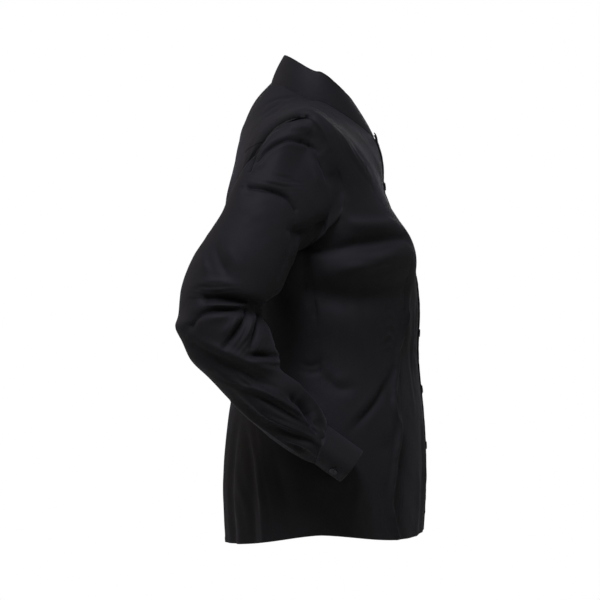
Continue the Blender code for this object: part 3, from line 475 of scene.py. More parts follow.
# Fields of fine parallel ripples, seen from either side in pixels: centre, reach along and across, direction
# of the ripples in degrees from level, wavelength, height
RIPPLE_COLUMNS = ("a", "b", "along", "across", "direction", "wave", "height")
BODY_RIPPLES = (
    (357, 142, 34, 12, 57, 5, 1.2), (278, 108, 22, 9, -28, 5.4, 1.2),
    (243, 152, 22, 8, -70, 5, 1), (372, 255, 26, 14, -14, 11, 0.5),
    (356, 330, 40, 30, 80, 17, 0.45), (250, 490, 50, 22, 84, 9, 0.6),
    (360, 500, 34, 30, 88, 16, 0.5), (388, 340, 50, 6, 84, 7, 0.35),
)
RIGHT_RIPPLES = ((389, 328, 5, 36, 4, 10.5, 0.8),)
SLEEVE_RIPPLES = (
    (285, 128, 26, 9, -20, 4.2, 0.4), (284, 181, 26, 9, 6, 5, 0.45),
    (255, 222, 30, 22, -38, 15, 0.15), (214, 288, 20, 7, 4, 4.4, 0.4),
    (246, 332, 18, 16, -62, 5.2, 0.5), (250, 384, 44, 12, 30, 6.5, 0.5),
    (290, 428, 34, 15, 30, 6, 0.5), (232, 372, 26, 10, 34, 8, 0.5),
)

# What each side of the shirt takes from these tables
HALF_COLUMNS = ("shared", "body", "sleeve", "ripples", "body_shades", "sleeve_shades")
HALVES = {
    RIGHT: dict(zip(HALF_COLUMNS, (RIGHT_SHARED, RIGHT_BODY_FOLDS, RIGHT_SLEEVE_FOLDS,
                                   BODY_RIPPLES + RIGHT_RIPPLES, BODY_SHADES[0], SLEEVE_SHADES[0]))),
    LEFT: dict(zip(HALF_COLUMNS, (LEFT_SHARED, LEFT_BODY_FOLDS, LEFT_SLEEVE_FOLDS,
                                  BODY_RIPPLES, BODY_SHADES[1], SLEEVE_SHADES[1]))),
}

# Slow unevenness all over the cloth: wave lengths in millimetres and heights, then each direction with its
# share of the wave's turns and its phase
SLOW_WAVES = ((118, 0.5), (74, 0.3), (47, 0.16), (29, 0.08))
WAVE_DIRECTIONS = (
    ((0.81, 0.47, 0.36), 1.0, 1.7), ((-0.33, 0.78, -0.61), 1.13, 2.9), ((0.29, -0.41, 0.93), 0.87, 0.6),
)
WAVE_SCALE = 1.4

# How a fold takes its shape: reach in widths, run in and out along it, a trough's pointed bowl, the softer
# fold along its side, and the bend and unevenness of fine ripples
FOLD_REACH = 4
RUN_IN, RUN_OUT = 0.4, 0.6
TROUGH_SHAPE = (1.15, 0.7, 0.45)
SIDE_FOLD_AT, SIDE_FOLD_WIDTH = 1.9, 0.95
RIPPLE_BEND, RIPPLE_BEND_TURNS = 0.35, 2.1
RIPPLE_UNEVEN, RIPPLE_UNEVEN_TURNS = 0.5, 1.9

# How far the cloth has to face sideways for the side's folds to show, and for those shared with the sleeve.
# Folds calm down beside the front's edge, where a share of them stays, and below the neckline
SIDE_FACING = (0.22, 0.5)
SHARED_FACING = (0.08, 0.25)
BAND_FOLDS = 0.25
BAND_CALM = (16.0, 34.0)
NECK_CALM = (0.0, 34.0)

# Seams: the roll down into the stitched line, and the little gathers that pull in across it. Each edge of
# a panel has its gathers' phase and strength, and how dark the shade painted into its crease is
BACK_EDGES = ((2.1, 0.7, 0.0), (0.1, 0.7, 0.0))
SIDE_FRONT_EDGES = ((0.0, 1.0, 0.2), (2.1, 0.7, 0.0))
CENTRE_FRONT_EDGES = ((4.0, 0.3, 0.0), (0.0, 1.0, 0.3))
SEAM_ROLL, SEAM_ROLL_WIDTH = 0.07, 1.6
SEAM_SOFT, SEAM_SOFT_WIDTH = 0.12, 4.0
PUCKER = 0.3
PUCKER_REACH = 6.0
PUCKER_WAVES = (23.0, 14.5, 9.2)
PUCKER_TURN = 1.3
PUCKER_DRIFT, PUCKER_DRIFT_LENGTH = 0.8, 57.0
PUCKER_FADE = 0.5
PUCKER_SCALE = 1.8

# The cloth past a seam edge: turned in round a small lip, or laid under its neighbour by rows of reach and
# depth, which are shorter and deeper where it is steep. Then the hem's line of stitches, by the length up
SEAM_LAPS = 0.62
UNDER_LAPS = 0.04
LIP_RADIUS = 0.22
LIP_LEAST = 0.04
LIP_TURN = (40.0, 80.0, 120.0, 160.0, 180.0)
ALLOWANCE = 7.0
UNDERLAP = ((-0.15, 0.05), (0.1, 0.5), (1.0, 0.6), (3.0, 0.62), (5.0, 0.66), (7.0, 0.7))
UNDER_SHORT = 0.8
UNDER_STEEP = 6
STEEP_ROWS = 4
SETTLE_REACH = 8
HEM_STITCH = 9.0
HEM_GROOVE, HEM_GROOVE_WIDTH = 0.28, 1.1
HEM_ROLL, HEM_ROLL_AT, HEM_ROLL_WIDTH = 0.35, 4.5, 3.2

# Round the armhole, the clocks between which the seam is sunk, and those between which it lies flush. The
# dips and the swell have a depth or height and a width
ARMHOLE_SUNK = (0.0, 42.0)
ARMHOLE_FLUSH = (250.0, 348.0)
ARMHOLE_FADE_IN, ARMHOLE_FADE_OUT = 10.0, 22.0
ARMHOLE_REACH_X = 110.0
ARMHOLE_REACH_Z = -240.0
ARMHOLE_CLOCK_STEP = 2.0
ARMHOLE_BATCHES = 40
ARMHOLE_DIPS = ((2.0, 2.8), (0.8, 7.0))
ARMHOLE_SWELL = (1.5, 20.0)
# How dark the shade painted into the sunk armhole seam is, and its width on the body and on the sleeve
ARMHOLE_SHADE = 0.8
BODY_CREASE_WIDTH, SLEEVE_CREASE_WIDTH = 1.8, 2.0

# The sleeve by its length from the armhole: its head's roll and gathers, and the front pressed in
HEAD_PROUD = 0.2
HEAD_LAPS = 0.9
HEAD_ALLOWANCE = 1.5
HEAD_CALM = 16.0
SHARED_CALM = 5.0
HEAD_ROLL, HEAD_ROLL_AT, HEAD_ROLL_WIDTH, HEAD_DIP_WIDTH = 2.4, 9.0, 6.0, 2.4
FRONT_PRESS, FRONT_PRESS_AT = 13.5, 32.0
HEAD_PUCKER, HEAD_PHASE, HEAD_PUCKER_AT, HEAD_PUCKER_WIDTH = 0.35, 0.4, 4.0, 7.0

# Gathers at the sleeve's end, most at one clock, by the length left to the cuff
CUFF_CALM = 30.0
GATHER, GATHER_REACH = 1.4, 24.0
GATHERS = 9
GATHER_DRIFT, GATHER_DRIFT_TURNS = 2.0, 2
GATHER_CLOCK = 40
GATHER_FACING = (-0.4, 0.6)

# A doubled band's rounded edge, its extra steps there, and the line of stitches that presses it
EDGE_ROUND = 0.6
EDGE_STEPS = (0.0, 0.12, 0.3, 0.55, 0.9)
FIRST_STEP = 1.6
ROW_PAST_EDGE = 10
EDGE_STITCH = 2.2
GROOVE, GROOVE_WIDTH = 0.16, 0.8
GROOVE_ROLL, GROOVE_ROLL_PAST, GROOVE_ROLL_WIDTH = 0.12, 2.0, 1.6

# Thread: a stitch's size, and its rise and relative width at steps along it
STITCH_LENGTH = 2.3
STITCH_GAP = 0.55
STITCH_START = 0.4
STITCH_RISE = (-0.18, 0.04, 0.04, -0.18)
STITCH_WIDE = (0.45, 1.0, 1.0, 0.45)
THREAD_RADIUS = 0.16
THREAD_SIDES = 5

# Buttons: radii and heights of the turned profile, hole places and the thread across, by its share of the
# holes' distance and its height
BUTTON_PROFILE = ((0.0, 0.75), (2.6, 0.8), (3.5, 0.92), (3.95, 1.22), (4.35, 1.3), (4.8, 1.2), (5.12, 0.95),
                  (5.2, 0.65), (5.0, 0.3), (4.5, 0.06), (3.6, 0.0), (0.0, 0.0))
BUTTON_TURNS = 48
HOLE_OFF = 1.25
HOLE_RADIUS = 0.62
HOLE_SIDES = 16
HOLE_DEPTH = 6
THREAD_LANES = (-0.22, 0.0, 0.22)
THREAD_ARC = ((-1.0, 0.2), (-1.0, 0.7), (-0.86, 1.0), (-0.4, 1.14), (0.0, 1.18), (0.4, 1.14), (0.86, 1.0),
              (1.0, 0.7), (1.0, 0.2))
LANE_RADIUS = 0.15
LANE_SIDES = 6

# Where the buttons are, and how far they stand off the cloth and turn. A bound slot's ring has half sizes,
# the squareness of its ends, a thickness with the thread's windings, and how flat it lies
FRONT_BUTTONS = 7
BUTTON_ROWS = 24
ROWS_BETWEEN_BUTTONS = 3
FRONT_BUTTON_OFF, FRONT_BUTTON_TURN = 0.3, 0.35
CUFF_BUTTON_OFF, CUFF_BUTTON_TURN = 0.25, 0.4
CUFF_BUTTON_AT = 0.6
CUFF_BUTTON_CLOCK = 36.0
CUFF_SLOT_CLOCK = 4
SLOT_OFF = 0.05
SLOT_HALF, SLOT_WIDE = 6.6, 1.25
SLOT_END_FILL, SLOT_END_POWER = 1.6, 0.8
SLOT_POINTS, SLOT_SIDES = 64, 8
SLOT_SPREAD = 0.5
SLOT_THREAD, SLOT_BULGE, SLOT_WINDINGS = 0.42, 0.05, 32
SLOT_FLAT = 0.62 / SLOT_THREAD

# Finishes. Cloth: tones from dark to light, roughness, and how deep its crumples are in millimetres. A noise
# has a scale, detail and distortion, and the weave a wave length, relief and strength
POPLIN = ((0.0104, 0.0099, 0.0107), (0.0148, 0.0141, 0.0152), 0.66, 0.4)
PRESSED_POPLIN = ((0.0104, 0.01, 0.0107), (0.0146, 0.014, 0.015), 0.62, 0.25)
# Painted shade: the near-black tone the cloth is darkened towards in its creases, seams and crowded folds
CREASE_SHADE_TONE = (0.0008, 0.0007, 0.0008)
CLOTH_GLOSS = 0.13
CLOTH_SHEEN = {"Sheen Weight": 0.05, "Sheen Roughness": 0.45, "Sheen Tint": (0.62, 0.62, 0.74)}
ROUGH_CHANGE = 0.05
WEAVE, WEAVE_RELIEF, WEAVE_STRENGTH = 0.42, 0.03, 0.5
SLUB_STRETCH, SLUB_NOISE, SLUB_RELIEF = (1800.0, 140.0, 1.0), (1.0, 2.0), 0.8
TONE_NOISE, TONE_SHARES = (16.0, 4.0), (0.7, 0.3)
CRUMPLE_NOISE = (62.0, 3.0, 0.4)
THREAD_TONES, THREAD_ROUGH = ((0.008, 0.008, 0.009), (0.015, 0.015, 0.016)), 0.5
THREAD_GLOSS, THREAD_SHEEN, THREAD_NOISE = 0.2, 0.05, (2600.0, 2.0)
BUTTON_TONES, BUTTON_ROUGH = ((0.008, 0.008, 0.009), (0.018, 0.017, 0.018)), (0.48, 0.6)
BUTTON_GLOSS, MARBLE_NOISE = 0.3, (420.0, 5.0, 1.4)

# Floor, world, lights and camera. The world's strength falls along X, and each light has a name, place, size,
# watts and colour
FLOOR_SIZE = 4.0
FLOOR_Z = -1.42
FLOOR_TONE, FLOOR_GLOSS, FLOOR_ROUGH = (0.86, 0.86, 0.86), 0.5, 0.7
WORLD_TONE = (1.0, 0.95, 0.89)
WORLD_FALL = ((-0.9, 0.3), (0.27, 0.165))
AIM = Vector((0.0, 0.0, -0.3))
LIGHTS = (
    ("key", (-1.8, 0.3, 2.4), 1.5, 82.0, (0.89, 0.88, 1.1)),
    ("back", (0.9, 2.3, 0.7), 0.8, 6.5, (1.1, 0.97, 0.88)),
    ("left", (2.6, -0.2, 0.5), 1.2, 17.0, (1.0, 0.98, 0.96)),
    ("front", (-0.2, -2.6, -0.6), 1.0, 1.5, (1.04, 0.98, 0.94)),
)
SENSOR = 36.0


def columns(names, rows):
    """A table's columns by name, as arrays."""
    return dict(zip(names, np.array(rows, float).T))


RING = columns(RING_COLUMNS, RINGS)
SLEEVE = columns(TUBE_COLUMNS, SLEEVE_RINGS)
CUFF = columns(TUBE_COLUMNS, CUFF_RINGS)
PRINCESS_LINE = columns(PRINCESS_COLUMNS, PRINCESS)
ARMHOLE_LINE = columns(ARMHOLE_COLUMNS, ARMHOLE)


def smooth(x, low, high):
    """0 below low and 1 above high, with a soft step between them."""
    t = np.clip((x - low) / (high - low), 0.0, 1.0)
    return t * t * (3 - 2 * t)


def bell(far, width):
    """1 at no distance, falling softly to 0 past the width."""
    return np.exp(-(far / width) ** 2)


def unit(v):
    """Vectors at a length of 1."""
    return v / np.maximum(np.linalg.norm(v, axis=-1, keepdims=True), TINY)


def curve(at, knots, values):
    """A smooth curve through values at rising knots, read at any array of places."""
    knots, values = np.asarray(knots, float), np.asarray(values, float)
    slope = np.gradient(values, knots, axis=0)
    i = np.clip(np.searchsorted(knots, at) - 1, 0, len(knots) - 2)
    step = knots[i + 1] - knots[i]
    t = np.clip((at - knots[i]) / step, 0.0, 1.0)
    if values.ndim > 1:
        t, step = t[..., None], step[..., None]
    a, b = 2 * t**3 - 3 * t**2 + 1, t**3 - 2 * t**2 + t
    c, d = -2 * t**3 + 3 * t**2, t**3 - t**2
    return a * values[i] + b * step * slope[i] + c * values[i + 1] + d * step * slope[i + 1]


def closed_curve(at, knots, values, period):
    """The same round a closed loop."""
    knots = np.concatenate([knots[-2:] - period, knots, knots[:2] + period])
    values = np.concatenate([values[-2:], values, values[:2]])
    return curve(np.mod(at, period), knots, values)


def smooth_path(pairs):
    """Points along a smooth curve through pairs of places."""
    through = np.array(pairs, float).reshape(-1, 2)
    count = len(through)
    return curve(np.linspace(0, count - 1, (count - 1) * STEPS_BETWEEN + 1), np.arange(count), through)


def along_path(path, a, b):
    """For each place, its distance from a path, its share of the way along, and its side of it as 1 or -1."""
    step = np.diff(path, axis=0)
    length = np.hypot(*step.T)
    run = np.concatenate([[0], np.cumsum(length)])
    here = np.stack([a, b], -1)[:, None, :]
    t = np.clip(((here - path[:-1]) * step).sum(-1) / (step * step).sum(-1), 0, 1)
    off = here - path[:-1] - t[..., None] * step
    far = np.hypot(off[..., 0], off[..., 1])
    each, k = np.arange(len(a)), far.argmin(1)
    t, off, far = t[each, k], off[each, k], far[each, k]
    return far, (run[k] + t * length[k]) / run[-1], np.sign(step[k, 0] * off[:, 1] - step[k, 1] * off[:, 0])


def fold_field(a, b, rows):
    """How far a table of folds moves the cloth outward, at places in the table's own plane, and how closed
    its creases are there, from 0 to 1, which is painted into the cloth's colour as shade."""
    shape = np.shape(a)
    a, b = np.ravel(a), np.ravel(b)
    total, closed = np.zeros(a.shape), np.zeros(a.shape)
    bowl, floor, flare = TROUGH_SHAPE
    for row in rows:
        fold = FOLD_USUAL | dict(zip(FOLD_COLUMNS, row))
        width, height = fold["width"], fold["height"]
        path = smooth_path(fold["through"])
        low, high = path.min(0) - FOLD_REACH * width, path.max(0) + FOLD_REACH * width
        near = np.flatnonzero((a > low[0]) & (a < high[0]) & (b > low[1]) & (b < high[1]))
        if not len(near):
            continue
        far, along, side = along_path(path, a[near], b[near])
        q = far / width
        strength = 1 - (1 - fold["first"]) * (1 - smooth(along, 0, RUN_IN))
        strength -= (1 - fold["last"]) * smooth(along, RUN_OUT, 1)
        fall = bowl * q * q / (floor + flare * q) if height < 0 else q * q
        beside = fold["side"] * bell(side * q - SIDE_FOLD_AT, SIDE_FOLD_WIDTH)
        total[near] += (height * np.exp(-fall) + beside) * strength
        # painted shade in a trough that closes on itself
        tight = smooth(-height / width, *CREASE_FROM) * strength * bell(q, CREASE_SHARE)
        closed[near] = np.maximum(closed[near], tight)
    return total.reshape(shape), closed.reshape(shape)


def shade_field(a, b, rows):
    """How much shade to paint where the crowded folds of a table keep the light off, from 0 to 1."""
    total = np.zeros(np.shape(a))
    for through, width, dark in rows:
        far = np.full(np.shape(a), np.inf)
        for x, y in smooth_path(through):
            far = np.minimum(far, np.hypot(a - x, b - y))
        total = np.maximum(total, dark * bell(far, width))
    return total


def ripple_height(a, b, rows):
    """Fields of fine parallel ripples, a little bent and uneven."""
    total = np.zeros(np.shape(a))
    for row in rows:
        field = dict(zip(RIPPLE_COLUMNS, row))
        wave, turn = field["wave"], np.radians(field["direction"])
        da, db = a - field["a"], b - field["b"]
        along = (da * np.cos(turn) + db * np.sin(turn)) / field["along"]
        across = -da * np.sin(turn) + db * np.cos(turn)
        bend = RIPPLE_BEND * wave * np.sin(along * RIPPLE_BEND_TURNS + field["b"])
        uneven = 1 + RIPPLE_UNEVEN * np.sin(across / wave * RIPPLE_UNEVEN_TURNS + along + field["a"])
        reach = np.exp(-along ** 2 - (across / field["across"]) ** 2)
        total += field["height"] * uneven * np.cos(2 * np.pi * (across + bend) / wave) * reach
    return total


def slow_waves(p):
    """Slow unevenness that never repeats over the shirt, from crossed waves in three directions."""
    total = np.zeros(p.shape[:-1])
    for k, (length, height) in enumerate(SLOW_WAVES):
        first, second, third = (np.sin(2 * np.pi / length * ratio * (p @ direction) + phase * k)
                                for direction, ratio, phase in WAVE_DIRECTIONS)
        total += height * second * (first + third) / WAVE_SCALE
    return total


def seen(p, side):
    """Where the viewer on a side sees a point, in the picture's pixels with the front at the right."""
    near = VIEW_FAR / (VIEW_FAR - side * p[..., 0]) / PIXEL
    return PICTURE_MIDDLE - (p[..., 1] - VIEW_Y) * near, PICTURE_MIDDLE - (p[..., 2] - VIEW_Z) * near


def ring_point(ring, angle):
    """A point on a body ring, in millimetres. The ring's values and the angle are arrays of one shape."""
    turn = np.radians(angle)
    front = np.cos(turn) >= 0
    square = np.where(front, ring["front_square"], ring["back_square"])
    across = np.abs(np.sin(turn)) ** (2 / square)
    along = np.abs(np.cos(turn)) ** (2 / square)
    fall = (np.hypot(along, RING_RIDGE) - RING_RIDGE) / (np.hypot(1.0, RING_RIDGE) - RING_RIDGE)
    end_y = np.where(front, ring["front_y"], ring["back_y"])
    end_z = np.where(front, ring["front_z"], ring["back_z"])
    x = np.sign(np.sin(turn)) * ring["side_x"] * across
    y = ring["side_y"] + (end_y - ring["side_y"]) * along
    z = ring["side_z"] + (end_z - ring["side_z"]) * fall
    return np.stack([x, y, z], -1)


def plain_body(angle, level):
    """The body surface without folds."""
    ring = {name: curve(level, RING["level"], RING[name]) for name in RING_COLUMNS[1:]}
    p = ring_point(ring, angle)
    away = np.abs(np.mod(angle + 180.0, 360.0) - 180.0)
    quarter = np.sin(2 * np.radians(away)) ** 2 * (away < 90)
    p[..., 2] -= HEM_DIP * quarter * smooth(-level, -HEM_DIP_FROM, -HEM_LEVEL)
    spread_z = np.where(p[..., 2] < BUST_Z, BUST_SPREAD_DOWN, BUST_SPREAD_UP)
    mound = ((away - BUST_ANGLE) / BUST_SPREAD_ANGLE) ** 2 + ((p[..., 2] - BUST_Z) / spread_z) ** 2
    p[..., 1] -= BUST_HEIGHT * np.exp(-mound)
    return p


def normal_of(surface, a, b, steps):
    """Unit normals of a surface at a grid of its two values."""
    da = surface(a + steps[0], b) - surface(a - steps[0], b)
    db = surface(a, b + steps[1]) - surface(a, b - steps[1])
    return unit(np.cross(da, db))


def body_height(p, n):
    """How far the body's folds move its cloth outward, and the painted shade of its closed creases and
    crowded folds.
    """
    sideways = smooth(np.abs(n[..., 0]), *SIDE_FACING)
    at_shared = smooth(np.abs(n[..., 0]), *SHARED_FACING)
    height, closed = np.zeros(p.shape[:-1]), np.zeros(p.shape[:-1])
    for side, half in HALVES.items():
        a, b = seen(p, side)
        here = p[..., 0] * side > 0
        folds, creases = fold_field(a, b, half["body"])
        folds += ripple_height(a, b, half["ripples"])
        shared, shared_creases = fold_field(a, b, half["shared"])
        height = np.where(here, folds * sideways + shared * at_shared, height)
        creases = np.maximum(creases, shade_field(a, b, half["body_shades"]))
        closed = np.where(here, creases * sideways + shared_creases * at_shared, closed)
    front = fold_field(p[..., 0], p[..., 2], FRONT_FOLDS)
    back = fold_field(p[..., 0], p[..., 2], BACK_FOLDS)
    height += (1 - sideways) * np.where(n[..., 1] < 0, front[0], back[0])
    closed += (1 - sideways) * np.where(n[..., 1] < 0, front[1], back[1])
    return height + slow_waves(p), closed


def body(angle, level):
    """The cloth's outer surface on the body with its folds, the plain form's normal and its painted crease
    shade.
    """
    p = plain_body(angle, level)
    n = normal_of(plain_body, angle, level, BODY_STEPS)
    height, closed = body_height(p, n)
    height *= BAND_FOLDS + (1 - BAND_FOLDS) * smooth(np.abs(p[..., 0]), *BAND_CALM)
    height *= smooth(-level, *NECK_CALM)
    rise, sunk_shade = armhole_height(p)
    return p + n * (height + rise)[..., None], n, np.maximum(closed, sunk_shade)


def armhole(clock):
    """Angle and level of the left armhole's edge at a place round it."""
    line = ARMHOLE_LINE
    return [closed_curve(clock, line["clock"], line[name], 360.0) for name in ("angle", "level")]


def tube_point(rows, at, clock, side):
    """A point on the sleeve's or cuff's rings, where at counts rings and clock is 0 at the outer side."""
    knots = np.arange(len(rows["half_x"]), dtype=float)
    row = {name: curve(at, knots, rows[name]) for name in rows}
    turn = np.radians(clock)
    x = row["centre_x"] + row["half_x"] * np.cos(turn)
    y = (row["back_y"] + row["front_y"]) / 2 + (row["back_y"] - row["front_y"]) / 2 * np.sin(turn)
    z = (row["back_z"] + row["front_z"]) / 2 + (row["back_z"] - row["front_z"]) / 2 * np.sin(turn)
    return np.stack([x * side, y, z + row["outer_up"] * np.cos(turn)], -1)


def grid_normals(p, closed, like):
    """Unit normals of a grid of points, on the side of some other directions. A closed grid joins its end
    columns."""
    dc = np.roll(p, -1, axis=1) - np.roll(p, 1, axis=1) if closed else np.gradient(p, axis=1)
    n = unit(np.cross(dc, np.gradient(p, axis=0)))
    return -n if np.einsum("ijk,ijk->ij", n, like).mean() < 0 else n


def across_lengths(p):
    """Running length along each row of a grid, and along each column."""
    u = np.cumsum(np.linalg.norm(np.diff(p, axis=1, prepend=p[:, :1]), axis=-1), axis=1)
    v = np.cumsum(np.linalg.norm(np.diff(p, axis=0, prepend=p[:1]), axis=-1), axis=0)
    return u, v


def armhole_share(clock, start, end):
    """1 for the places round the armhole between two clocks, falling softly to 0 past them."""
    middle, half = (start + end) / 2, (end - start) / 2
    off = np.abs(np.mod(clock - middle + 180, 360) - 180)
    return 1 - smooth(off, half - ARMHOLE_FADE_IN, half + ARMHOLE_FADE_OUT)


def near_armhole(p):
    """Distance to the nearer armhole's line, and the clock of the nearest place on it."""
    clock = np.arange(0.0, 360.0, ARMHOLE_CLOCK_STEP)
    line = plain_body(*armhole(clock))
    flat = p.reshape(-1, 3).copy()
    flat[:, 0] = np.abs(flat[:, 0])
    far, where = np.full(len(flat), np.inf), np.zeros(len(flat))
    near = np.flatnonzero((flat[:, 0] > ARMHOLE_REACH_X) & (flat[:, 2] > ARMHOLE_REACH_Z))
    for part in np.array_split(near, ARMHOLE_BATCHES):
        gap = np.linalg.norm(flat[part][:, None] - line[None], axis=-1)
        far[part], where[part] = gap.min(1), clock[gap.argmin(1)]
    return far.reshape(p.shape[:-1]), where.reshape(p.shape[:-1])


def armhole_height(p):
    """How the body's cloth dips to the armhole behind and over the shoulder and swells up to it in front, and
    how dark the shade painted into its crease is."""
    far, clock = near_armhole(p)
    behind, front = armhole_share(clock, *ARMHOLE_SUNK), armhole_share(clock, *ARMHOLE_FLUSH)
    dip = sum(depth * bell(far, width) for depth, width in ARMHOLE_DIPS)
    swell, swell_width = ARMHOLE_SWELL
    height = swell * bell(far, swell_width) * front - dip * behind
    return height, ARMHOLE_SHADE * behind * bell(far, BODY_CREASE_WIDTH)


def pucker(s, phase):
    """Little gathers along a seam, by the length along it."""
    total = np.zeros(np.shape(s))
    for k, wave in enumerate(PUCKER_WAVES):
        drift = PUCKER_DRIFT * np.sin(s / PUCKER_DRIFT_LENGTH + k)
        total += np.sin(2 * np.pi * s / wave + phase + PUCKER_TURN * k + drift) / (1 + PUCKER_FADE * k)
    return total / PUCKER_SCALE


def seam_height(far, along, phase, strength):
    """The dip of the cloth into a seam, and its gathers, by distance from the seam and length along it."""
    dip = SEAM_ROLL * bell(far, SEAM_ROLL_WIDTH) + SEAM_SOFT * bell(far, SEAM_SOFT_WIDTH)
    return strength * PUCKER * pucker(along, phase) * bell(far, PUCKER_REACH) - dip


def place(name, data):
    """A new object in the scene."""
    made = bpy.data.objects.new(name, data)
    bpy.context.scene.collection.objects.link(made)
    return made


class Mesh:
    """Points, faces, flat coordinates and painted crease shade of one piece, in millimetres until it is made.
    """

    def __init__(self):
        self.points, self.faces, self.flats, self.creases, self.count = [], [], [], [], 0

    def grid(self, p, uv, closed=False, flip=False, crease=0.0):
        """Faces over a grid of points."""
        rows, cols = p.shape[:2]
        index = np.arange(rows * cols).reshape(rows, cols) + self.count
        if closed:
            index = np.concatenate([index, index[:, :1]], 1)
            far = uv[:, :1].copy()
            far[..., 0] = uv[:, -1:, 0] + (uv[:, -1:, 0] - uv[:, -2:-1, 0])
            uv = np.concatenate([uv, far], 1)
        turn = -1 if flip else 1
        quad, flat = ([g[:-1, :-1], g[:-1, 1:], g[1:, 1:], g[1:, :-1]][::turn] for g in (index, uv))
        self.faces.append(np.stack(quad, -1).reshape(-1, 4))
        self.flats.append(np.stack(flat, -2).reshape(-1, 4, 2))
        self.points.append(p.reshape(-1, 3))
        self.creases.append(np.broadcast_to(crease, (rows, cols)).ravel())
        self.count += rows * cols
        return index

    def strip(self, first, second, flip):
        """Faces between two runs of points that are already in grids."""
        quad = [first[:-1], first[1:], second[1:], second[:-1]][::-1 if flip else 1]
        self.faces.append(np.stack(quad, -1))
        self.flats.append(np.zeros((len(first) - 1, 4, 2)))

    def shell(self, outer, inner, uv, closed=False, flip=False, crease=0.0, skip=1):
        """A closed wall between two grids. The inner skin may leave out rows between its first and last."""
        a = self.grid(outer, uv, closed, flip, crease)
        kept = crease if np.ndim(crease) == 0 else crease[::skip]
        b = self.grid(inner[::skip], uv[::skip], closed, not flip, kept)
        self.strip(a[0], b[0], not flip)
        self.strip(a[-1], b[-1], flip)
        if not closed:
            self.strip(a[:, 0], b[:, 0], flip)
            self.strip(a[:, -1], b[:, -1], not flip)

    def make(self, name, finish):
        """The mesh object."""
        points, faces, flats = (np.concatenate(part) for part in (self.points, self.faces, self.flats))
        mesh = bpy.data.meshes.new(name)
        mesh.vertices.add(len(points))
        mesh.vertices.foreach_set("co", (points * MM).ravel())
        mesh.loops.add(faces.size)
        mesh.loops.foreach_set("vertex_index", faces.ravel().astype(np.int32))
        mesh.polygons.add(len(faces))
        mesh.polygons.foreach_set("loop_start", np.arange(0, faces.size, 4, dtype=np.int32))
        mesh.update(calc_edges=True)
        mesh.uv_layers.new(name="flat").data.foreach_set("uv", (flats * MM).ravel())
        # Painted shade of the creases, seams and crowded folds, kept on each point for the cloth's colour
        crease = mesh.attributes.new("crease", "FLOAT", "POINT")
        crease.data.foreach_set("value", np.concatenate(self.creases).astype(np.float32))
        mesh.validate()
        mesh.shade_smooth()
        mesh.set_sharp_from_angle(angle=np.radians(SHARP_CLOTH))
        mesh.materials.append(finish)
        return place(name, mesh)


def lip(edge, outward, normal, thick, under=None, allowance=ALLOWANCE):
    """Both skins of the cloth past its seam edge: turned in, back under its own panel, or laid under the next
    one, flat where under is 0 and steeply where it is 1. Points along the edge give an array of rows."""
    if under is not None:
        steep = under[:, None]
        outer = np.array([edge + outward * (LIP_RADIUS + past * (1 - UNDER_SHORT * steep))
                          - normal * depth * (1 + UNDER_STEEP * steep) for past, depth in UNDERLAP])
        return outer, outer - normal * thick
    turn = np.radians(LIP_TURN)[:, None, None]
    s, c = np.sin(turn), 1 - np.cos(turn)
    tight = max(LIP_RADIUS - thick, LIP_LEAST)
    outer = edge + outward * LIP_RADIUS * s - normal * LIP_RADIUS * c
    inner = edge + outward * tight * s - normal * (thick + tight * c)
    return tuple(np.concatenate([skin, skin[-1:] - outward * allowance]) for skin in (outer, inner))


def settled(directions, share):
    """Directions along an edge, averaged over their neighbours where share is 1 and kept where it is 0."""
    padded = np.pad(directions, ((SETTLE_REACH, SETTLE_REACH), (0, 0)), mode="edge")
    mean = unit(sum(padded[k:k + len(directions)] for k in range(2 * SETTLE_REACH + 1)))
    return unit(directions * (1 - share[:, None]) + mean * share[:, None])


def clustered(count):
    """Places from 0 to 1 that lie closer together near both ends."""
    t = np.linspace(0, 1, count + 1)
    return t - END_CROWDING * np.sin(2 * np.pi * t) / (2 * np.pi)


def across(first, last, t):
    """A grid of angle and level whose rows run from one edge's points to the other's."""
    t = t[None, :, None]
    return first[:, None, :] * (1 - t) + last[:, None, :] * t


def edge_angle(x, level):
    """The angle at which the front reaches a distance from the centre."""
    side_x, square = (curve(level, RING["level"], RING[name]) for name in ("side_x", "front_square"))
    return np.sign(x) * np.degrees(np.arcsin((np.abs(x) / side_x) ** (square / 2)))


def side_seam():
    """Rows of angle and level up the left side seam, from the hem to the armpit."""
    angle, level = armhole(np.array([ARMPIT_CLOCK]))
    up = np.linspace(HEM_LEVEL, level[0], SIDE_SEAM_ROWS + 1)
    return np.stack([90.0 + (angle[0] - 90.0) * smooth(up, HEM_LEVEL, level[0]), up], -1)


def armhole_run(last, count):
    """Rows of angle and level from just past the armpit, up one edge of the armhole, to its top."""
    return np.stack(armhole(np.linspace(ARMPIT_CLOCK, last, count + 1)[1:]), -1)


def princess_run(count):
    """Rows up the princess seam, from the hem to the shoulder seam."""
    line = np.stack([PRINCESS_LINE["angle"], PRINCESS_LINE["level"]], -1)
    return curve(np.linspace(0, len(line) - 1, count), np.arange(len(line)), line)


def hem_height(v):
    """The shallow groove that the hem's stitches press, by the length up from the hem."""
    pressed_in = HEM_GROOVE * bell(v - HEM_STITCH, HEM_GROOVE_WIDTH)
    return HEM_ROLL * bell(v - HEM_ROLL_AT, HEM_ROLL_WIDTH) - pressed_in


